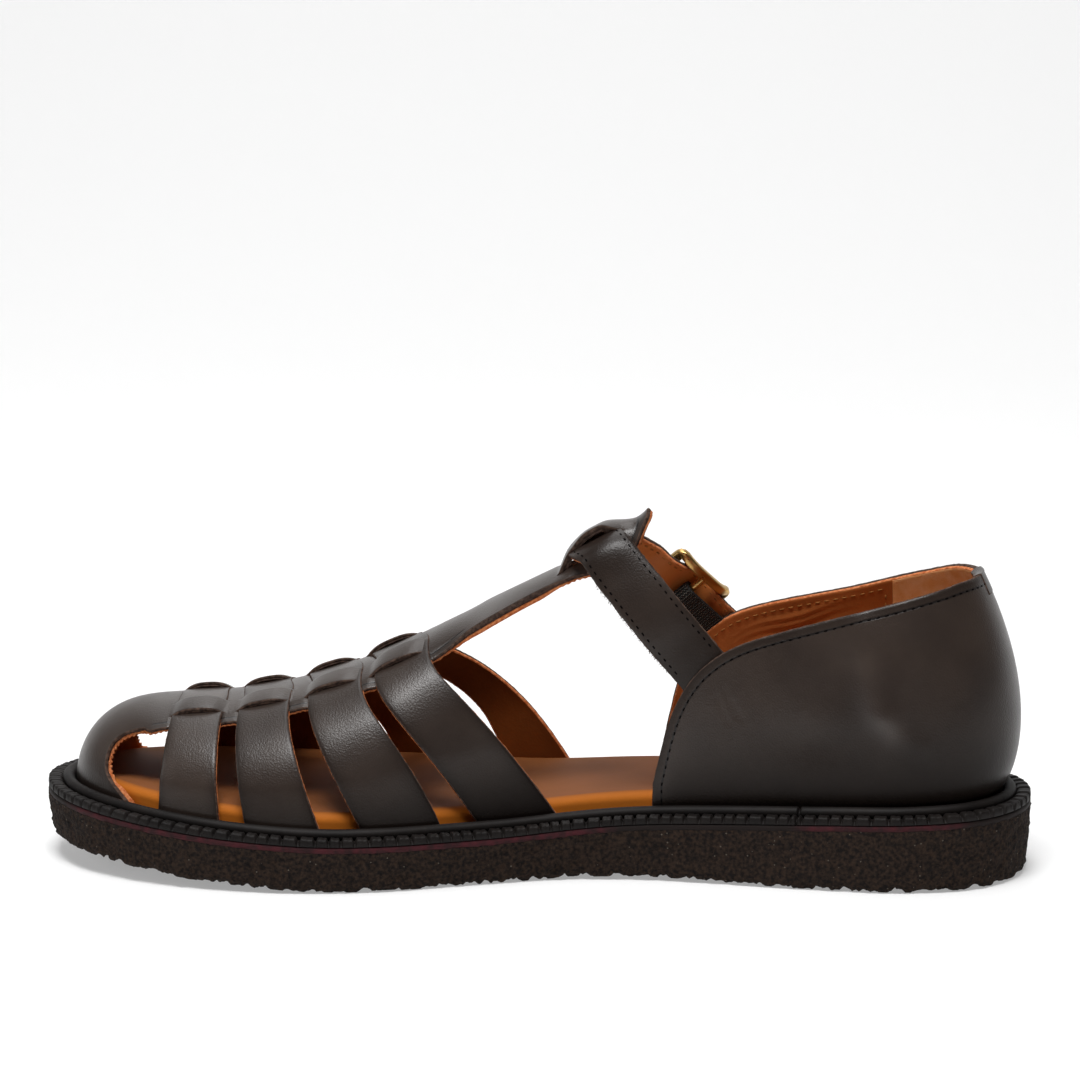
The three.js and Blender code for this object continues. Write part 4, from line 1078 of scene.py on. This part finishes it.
def quarters():
    """Closed heel in one leather, with a suede grip inside and tucks in the lining under its edge."""
    turn = quarter_turns()
    x = rim(turn)[0]
    edge = by_side(turn, quarter_edge, x)[:, None]
    share = np.linspace(0, 1, 80)[None, :]
    height = mix(seat(x)[:, None], edge, share)
    turn_grid = turn[:, None] + 0 * height
    base, _ = quarter_surface(turn_grid, height)
    length, medial = base[..., 0], (turn < HEEL_TURN)[:, None]
    flat = np.stack([turn_grid * FEATHER_LENGTH, height], -1).reshape(-1, 1, 2)
    from_edge = np.min(np.linalg.norm(flat - quarter_rim(turn)[None, ::2], axis=-1), axis=1)
    from_edge = from_edge.reshape(height.shape)
    grip = smooth((GRIP_FRONT - length) / 1.2)
    sunk = edge - height + 0.5 * np.sin(length / 3.7) - 0.09 * (length - TUCKS_MIDDLE)
    tucks = 0.5 * sum(hump(sunk - drop, 0.8) for drop in TUCK_DROPS)
    tucks = np.where(medial, 0.4, 1.0) * tucks * hump(length - TUCKS_MIDDLE, 12)
    thick = (QUARTER_THICK + GRIP_THICK * grip + tucks).ravel()
    in_grip = length.ravel()[grid_faces(*height.shape)].mean(axis=1) < GRIP_FRONT - 0.6
    part = cut_leather(base, thick, inner=np.where(in_grip, GRIP, INNER))
    # Painted highlight on the counter's edge, painted shade low down and near the free edge
    painted_ridge_highlight = 0.3 * hump(off_run(length, base[..., 2], COUNTER_EDGE[1:] + COUNTER_TURN[1:2]), 3.4)
    painted_shade_and_sheen = mix(0.08, 0.67, smooth(share / 0.85)) + np.where(medial, painted_ridge_highlight, 0)
    painted_shade_and_sheen = painted_shade_and_sheen * mix(0.6, 1, smooth((from_edge - 0.6) / 2.4))
    leather_piece("quarters", part, painted_shade_and_sheen, from_edge - QUARTER_LINE)


def quarter_line(inside, run):
    """Line at a distance in from a run of the quarters' edge, with its outward directions."""
    along = unit(np.gradient(run, axis=0))
    moved = run + np.stack([along[:, 1], -along[:, 0]], -1) * inside
    return quarter_surface(moved[:, 0] / FEATHER_LENGTH, moved[:, 1])


def heel_tab():
    """Small tab folded over the top of the back seam."""
    turn = HEEL_TURN + np.linspace(-7, 7, 33) / FEATHER_LENGTH
    top = float(quarter_edge[1](QUARTER_BACK))
    fold = np.radians(np.linspace(12, 168, 12))
    # Way out and rise of its face: up the back, over the top line and down inside
    path = [(0.22, -5.0 + 0.25 * k) for k in range(21)]
    path += [(-1.25 + 1.6 * math.cos(a), 0.6 * math.sin(a)) for a in fold]
    path += [(-2.95, -0.3 * k) for k in range(17)]
    columns = []
    for out, rise in path:
        height = np.full_like(turn, top + min(rise, 0))
        at = quarter_face(turn, height)
        beside = quarter_face(turn + 0.001, height) - at
        away = unit(np.cross(beside, quarter_face(turn, height + 0.3) - at))
        columns.append(at + away * out + np.array([0, 0, max(rise, 0)]))
    points = np.stack(columns, 1)
    part = cut_leather(points, 0.7, lining_reach=0.1, fuzz=0.05)
    # An even middle level of painted shade and sheen
    painted_shade_and_sheen = np.full(points.shape[:2], 0.45)
    leather_piece("heel_tab", part, painted_shade_and_sheen, lining=DARK_EDGE, edge=DARK_EDGE)


# Ankle strap and buckle

BUCKLE_AT = 0.773
BUCKLE_LENGTH = 20.5
BUCKLE_INSIDE = 15.3
BAR = 2.2
END_BAR_RISE = 2.9
BUCKLE_CORNER = 1.3
STRAP_DIP = 1.9
PRONG = 1.5
PRONG_BEND = 0.6
PRONG_TIP = 1.2
ELASTIC_THICK = 1
ELASTIC_WIDTH = 7
ELASTIC_LENGTH = 15
BAR_LEVEL = -1.5
STRAP_OVER_BAR = BAR_LEVEL + BAR / 2 + 2 * GAP + ELASTIC_THICK
# How the strap swells where it passes under the head, and lies in under the medial quarter's edge
ARCH_SWELL = 2.5
ARCH_CROWN = 1.3
UNDER_QUARTER = 1.2
TONGUE_LENGTH = 6.5

_ankle = curve_through(ANKLE, False, 4000)
_ankle_along = unit(np.gradient(_ankle, axis=0))
ANKLE_LENGTH = travelled(_ankle)[-1]
UNDER_ARCH = travelled(_ankle)[np.argmin(np.linalg.norm(_ankle - ANKLE[4], axis=1))]


def ankle_frame(share):
    """Places on the ankle strap's path, with the directions along it, to the toe and away."""
    at = np.atleast_1d(share) * ANKLE_LENGTH
    point = read_along(_ankle, _ankle, at)
    along = unit(read_along(_ankle, _ankle_along, at))
    ring = unit(point[:, 1:] - [0, ANKLE_AXIS_HEIGHT])
    away = np.stack([INSTEP_LEAN * ring[:, 1], ring[:, 0], ring[:, 1]], -1)
    away = unit(away - along * np.sum(away * along, -1, keepdims=True))
    return point, along, np.cross(away, along), away


def ankle_rise(share):
    """Height of the strap's back over its path: over the centre bar, down in the frame, up at the arch."""
    off = np.abs(share - BUCKLE_AT) * ANKLE_LENGTH
    dip = STRAP_DIP * (1 - smooth((off - BUCKLE_LENGTH / 2) / 6))
    swell = ARCH_SWELL * hump(share * ANKLE_LENGTH - UNDER_ARCH, 6)
    return (STRAP_OVER_BAR + dip) * (1 - smooth((off - 1) / (BUCKLE_LENGTH / 2 - 2.4))) - dip + swell


def ankle_surface(share, across):
    """Outer face of the ankle strap; across in millimetres to the toe from its middle."""
    point, _, toward, away = ankle_frame(share)
    length = (share * ANKLE_LENGTH)[:, None]
    off_middle = np.abs(across / (ANKLE_WIDTH / 2))
    crown = ARCH_CROWN * hump(length - UNDER_ARCH, 7) * (1 - off_middle**2)
    tucked = UNDER_QUARTER * (1 - smooth((length - 18) / 13))
    level = ankle_rise(share)[:, None] + ANKLE_THICK - 0.25 * off_middle**4 + crown - tucked
    return point[:, None] + toward[:, None] * across[..., None] + away[:, None] * level[..., None]


def ankle_strap():
    """Strap from inside the medial quarter, under the head and through the buckle to a round end."""
    share = np.linspace(0, 1, 170)
    left = (1 - share) * ANKLE_LENGTH
    tongue = np.sqrt(1 - (1 - np.clip(left / TONGUE_LENGTH, 0.02, 1)) ** 2)
    across = np.linspace(-0.5, 0.5, 24)[None, :] * ANKLE_WIDTH * mix(0.25, 1, tongue)[:, None]
    part = cut_leather(ankle_surface(share, across), 2.0, lining_reach=0.3, fuzz=0.17)
    length = share * ANKLE_LENGTH
    # Painted shade at the strap's foot and where it passes under the head
    painted_shade_and_sheen = mix(0.3, 0.65, smooth((length - 10) / 28)) - 0.3 * hump(length - UNDER_ARCH, 8)
    leather_piece("ankle_strap", part, np.repeat(painted_shade_and_sheen, across.shape[1]))


def tube(path, away, radius, sides):
    """Points and faces of a bar along a path; away gives its upright direction."""
    along = unit(np.gradient(path, axis=0))
    side = unit(np.cross(away, along))
    upright = np.cross(along, side)
    angle = np.linspace(0, 2 * np.pi, sides + 1)[None, :, None]
    radius = np.broadcast_to(radius, len(path))[:, None, None]
    ring = side[:, None] * np.cos(angle) + upright[:, None] * np.sin(angle)
    return grid_part(path[:, None] + ring * radius)


_bar_point, _bar_along, _bar_across, _bar_away = (v[0] for v in ankle_frame(BUCKLE_AT))


def at_buckle(along, across, away):
    along, across, away = (np.asarray(v, float)[..., None] for v in (along, across, away))
    return _bar_point + _bar_along * along + _bar_across * across + _bar_away * (away + BAR_LEVEL)


def buckle_casting():
    """Rounded rectangular frame that bows away at both ends, with a centre bar."""
    long, wide = (BUCKLE_LENGTH - BAR) / 2, (BUCKLE_INSIDE + BAR) / 2
    arc = BUCKLE_CORNER
    path = []
    for quarter, (sx, sy) in enumerate([(1, 1), (-1, 1), (-1, -1), (1, -1)]):
        for turn in np.linspace(0, np.pi / 2, 9) + quarter * np.pi / 2:
            corner = (sx * (long - arc), sy * (wide - arc))
            path.append((corner[0] + arc * math.cos(turn), corner[1] + arc * math.sin(turn)))
    path = np.array(path + path[:1])
    even = np.linspace(0, travelled(path)[-1], 121)
    x, y = read_along(path, path, even).T
    line = at_buckle(x, y, END_BAR_RISE * (x / long) ** 4)
    along = unit(np.roll(line[:-1], -1, 0) - np.roll(line[:-1], 1, 0))
    along = np.vstack([along, along[:1]])
    side = unit(np.cross(_bar_away, along))
    upright = np.cross(along, side)
    angle = np.linspace(0, 2 * np.pi, 21)
    wide_flat, tall_flat = (np.sign(f) * np.abs(f) ** 0.4 for f in (np.cos(angle), np.sin(angle)))
    ring = 1.15 * side[:, None] * wide_flat[:, None] + upright[:, None] * tall_flat[:, None]
    frame_bar = grid_part(line[:, None] + ring * BAR / 2)
    cross = at_buckle(np.zeros(20), np.linspace(-wide, wide, 20), np.zeros(20))
    centre_bar = tube(cross, _bar_away[None, :], BAR / 2 * 0.98, 18)
    make_piece("buckle_casting", joined([frame_bar, centre_bar]), [BRASS], "buckle_frame")


def buckle_pin():
    """Prong that leaves the centre bar, lies over the strap and rests on the end bar."""
    start = BAR / 2 + GAP + PRONG / 2
    over_end = END_BAR_RISE + start
    over_strap = STRAP_OVER_BAR + ANKLE_THICK + PRONG_BEND
    half = BUCKLE_LENGTH / 2
    knots = [(0, 0, start), (-PRONG_BEND, 0, over_strap), (-half / 2, 0, over_strap)]
    knots += [(-half + BAR / 2, 0, over_end), (-half - PRONG_TIP, 0, over_end)]
    run = curve_through(knots, False, 48)
    taper = PRONG / 2 * np.sqrt(np.clip((1 - np.linspace(0, 1, 48)) * 14, 0.02, 1))
    pin = tube(at_buckle(*run.T), _bar_across[None, :], taper, 14)
    make_piece("buckle_pin", joined([pin]), [BRASS], "buckle_prong")


def elastic_band():
    """Woven elastic looped round the centre bar and sewn inside the lateral quarter."""
    middle = BAR / 2 + GAP + ELASTIC_THICK / 2
    loop = np.radians(np.linspace(-96, -322, 40))
    path = [(s, -middle) for s in np.linspace(ELASTIC_LENGTH, 0, 40)]
    path += [(middle * math.cos(a), middle * math.sin(a)) for a in loop]
    path = np.array(path)
    across = np.linspace(-0.5, 0.5, 18) * ELASTIC_WIDTH
    base = at_buckle(path[:, :1], across[None, :], path[:, 1:])
    part = cut_leather(raised(base, ELASTIC_THICK / 2), ELASTIC_THICK, lining_reach=0.2, fuzz=0.03)
    count = len(part[0])
    marks = {
        "along_mm": filled(np.repeat(travelled(path), len(across)), count, 0),
        "across_mm": filled(np.tile(across, len(path)), count, 0),
    }
    make_piece("elastic_band", (*part[:2], 0 * part[2]), [ELASTIC], "elastic", marks)


# Sewing and loose fibres

THREAD_HALF = 0.22
THREAD_RISE = 0.18
# One stitch: shares of its length, and its height there, with both ends sunk in
STITCH_SHARES = np.array([0, 0.16, 0.5, 0.84, 1])
STITCH_HEIGHTS = np.array([-0.5, 0.05, 0.14, 0.05, -0.5])
STITCH_SIDES = 8
ANKLE_SEAM = 1.35
LINING_FACE = 2.02
GRIP_SEAM = 39.8


def stitches(line, away, pitch, length, sink=0.0):
    """A row of stitches along a run of points: short rounded threads with their ends sunk in."""
    starts = np.arange(pitch / 2, travelled(line)[-1] - length - pitch / 4, pitch)
    at = (starts[:, None] + length * STITCH_SHARES).reshape(-1)
    middle = read_along(line, line, at)
    upright = unit(read_along(line, away, at))
    along = unit(read_along(line, unit(np.gradient(line, axis=0)), at))
    side = np.cross(upright, along)
    level = np.tile(STITCH_HEIGHTS, len(starts))[:, None] - sink
    angle = np.linspace(0, 2 * np.pi, STITCH_SIDES)[None, :, None]
    ring = side[:, None] * np.cos(angle) * THREAD_HALF + upright[:, None] * np.sin(angle) * THREAD_RISE
    points = (middle + upright * level)[:, None] + ring
    one = grid_faces(len(STITCH_SHARES), STITCH_SIDES)
    step = len(STITCH_SHARES) * STITCH_SIDES
    faces = np.concatenate([one + step * k for k in range(len(starts))])
    return points.reshape(-1, 3), faces, 0


def ankle_seam(share, side):
    """Line of the seam along one side of the ankle strap, with its outward directions."""
    across = np.full((len(share), 1), side * (ANKLE_WIDTH / 2 - ANKLE_SEAM))
    return ankle_surface(share, across)[:, 0], ankle_frame(share)[3]


def sewing():
    """Dark seams on the outside of quarters and ankle strap, pale ones on their lining."""
    whole = quarter_turns()
    above_welt = slice(14, -14)
    rim_run = quarter_rim(np.linspace(whole[0], whole[-1], 1200))[above_welt]
    dark = [stitches(*quarter_line(QUARTER_LINE, rim_run), 2.4, 1.4, 0.16)]
    share = np.linspace(0.1, 0.985, 500)
    for side in (-1, 1):
        for stretch in (share < BUCKLE_AT - 0.075, share > BUCKLE_AT + 0.085):
            dark.append(stitches(*ankle_seam(share[stretch], side), 2.3, 1.3, 0.14))
    make_piece("dark_stitching", joined(dark), [DARK_THREAD])
    top_line = slice(40, -40)
    top_run = quarter_rim(np.linspace(whole[30], whole[-31], 700))[top_line]
    line, away = quarter_line(2.0, top_run)
    pale = []
    for side in (1, -1):
        at = (line[:, 0] > GRIP_SEAM - 0.4) & (line[:, 1] * side > 0)
        pale.append(stitches(line[at] - away[at] * LINING_FACE, -away[at], 2.5, 1.6))
    for side in (1, -1):
        turn = np.full(60, rim_turn(GRIP_SEAM, side))
        height = np.linspace(40, float(quarter_edge[side](GRIP_SEAM)) - 2.2, 60)
        at, away = quarter_surface(turn, height)
        pale.append(stitches(at - away * 2.05, -away, 2.5, 1.6))
    far = share[(share > 0.5) & (share < BUCKLE_AT + 0.12)]
    for side in (-1, 1):
        at, away = ankle_seam(far, side)
        pale.append(stitches(at - away * LINING_FACE, -away, 2.3, 1.4))
    make_piece("pale_stitching", joined(pale), [TAN_THREAD])


def loose_fibres():
    """Fibres that stand out of the raw front edge of the ankle strap, as in the photo."""
    picks = np.random.default_rng(7)
    count = 90
    share = picks.uniform(0.13, 0.36, count)
    point, along, toward, away = ankle_frame(share)
    root = point + toward * ANKLE_WIDTH / 2 + away * picks.uniform(0.3, 1.7, (count, 1))
    lean = toward + along * picks.uniform(-1.2, 0.6, (count, 1))
    lean = lean + away * picks.uniform(-0.6, 0.4, (count, 1))
    reach = unit(lean) * picks.uniform(0.5, 1.15, (count, 1))
    bend = along * picks.uniform(-0.25, 0.25, (count, 1))
    taper = np.array([0.07, 0.055, 0.02])
    parts = []
    for k in range(count):
        run = np.stack([root[k], root[k] + 0.5 * reach[k] + bend[k], root[k] + reach[k]])
        parts.append(tube(run, away[k][None, :], taper, 5))
    make_piece("loose_fibres", joined(parts), [DARK_EDGE])


crepe_sole()
midsole_edge()
storm_welt()
footbed()
toe_cap_and_spine()
for number, row in enumerate(STRAPS, 1):
    cross_strap(number, row)
quarters()
heel_tab()
ankle_strap()
buckle_casting()
buckle_pin()
elastic_band()
sewing()
loose_fibres()

# Studio, in metres

FLOOR_FRONT = 0.32
SWEEP_START = -0.8
SWEEP_RADIUS = 0.9
BACKDROP_HALF = 3
# Lens in millimetres, pixels by which the photo's middle lies above and beside the target, and
# the camera's turn from square on and its rise in degrees
LENS = 141
SENSOR = 36
PHOTO_SIZE = 1080
AIM_UP = 172
AIM_RIGHT = 4
CAMERA_TURN = 5
CAMERA_RISE = 13
CAMERA_AWAY = 1.15
TARGET_HEIGHT = 0.04


# Light table of white acrylic, lit from below as well as above, so that the shadow on it stays pale
def table(tree, place):
    return {"Base Color": linear("#d8d8d8"), "Emission Color": linear("#ffffff")}


def backdrop():
    """Sheet that lies on the floor and sweeps up behind the shoe, seen from the medial side."""
    sweep = np.radians(np.linspace(6, 90, 15))
    wall = SWEEP_START - SWEEP_RADIUS
    run = [(FLOOR_FRONT - 0.1 * k, 0.0) for k in range(12)]
    run += [(SWEEP_START - SWEEP_RADIUS * math.sin(a), SWEEP_RADIUS * (1 - math.cos(a))) for a in sweep]
    run += [(wall, 1.2), (wall, 3.0)]
    points = [(x, y, z) for y, z in run for x in (-BACKDROP_HALF, 0, BACKDROP_HALF)]
    mesh = bpy.data.meshes.new("backdrop")
    mesh.from_pydata(points, [], grid_faces(len(run), 3).tolist())
    mesh.polygons.foreach_set("use_smooth", np.ones(len(mesh.polygons), bool))
    surface = {"Roughness": 0.9, "Emission Strength": 0.33, **MATT}
    mesh.materials.append(finish("white_light_table", table, surface))
    sheet = bpy.data.objects.new("backdrop", mesh)
    bpy.context.scene.collection.objects.link(sheet)


def softbox(name, place, aim, size, power):
    lamp = bpy.data.lights.new(name, "AREA")
    lamp.shape = "RECTANGLE"
    lamp.size, lamp.size_y = size
    lamp.energy = power
    box = bpy.data.objects.new(name, lamp)
    box.location = place
    box.rotation_euler = (Vector(aim) - Vector(place)).to_track_quat("-Z", "Y").to_euler()
    bpy.context.scene.collection.objects.link(box)


def studio_air(strength):
    """A little white light from all round."""
    world = bpy.data.worlds.new("studio")
    world.use_nodes = True
    air = world.node_tree.nodes["Background"]
    air.inputs["Color"].default_value = linear("#ffffff")
    air.inputs["Strength"].default_value = strength
    bpy.context.scene.world = world
    bpy.context.scene.view_settings.view_transform = "Standard"


def camera():
    """Long lens from the medial side, turned a little towards the heel and looking down."""
    data = bpy.data.cameras.new("photo_camera")
    data.sensor_width = SENSOR
    data.lens = LENS
    turn, rise = math.radians(CAMERA_TURN), math.radians(CAMERA_RISE)
    back = Vector((-math.sin(turn) * math.cos(rise), math.cos(turn) * math.cos(rise), math.sin(rise)))
    eye = bpy.data.objects.new("photo_camera", data)
    eye.location = Vector((0, AXIS_TO_MIDDLE * MM, TARGET_HEIGHT)) + back * CAMERA_AWAY
    look = -back
    right = look.cross(Vector((0, 0, 1))).normalized()
    up = right.cross(look)
    lens_pixels = PHOTO_SIZE * LENS / SENSOR
    aim = look + up * (AIM_UP / lens_pixels) + right * (AIM_RIGHT / lens_pixels)
    eye.rotation_euler = aim.to_track_quat("-Z", "Y").to_euler()
    bpy.context.scene.collection.objects.link(eye)
    bpy.context.scene.camera = eye


backdrop()
softbox("top_light", (0.05, 0.5, 1.5), (0, 0, 0.04), (0.7, 0.6), 22)
softbox("back_light", (0.2, -0.9, 1.7), (0, -0.9, 0.2), (2.4, 0.8), 13)
softbox("toe_light", (1.5, 0.3, 0.8), (0.05, 0, 0.04), (0.7, 0.7), 3)
studio_air(0.04)
camera()
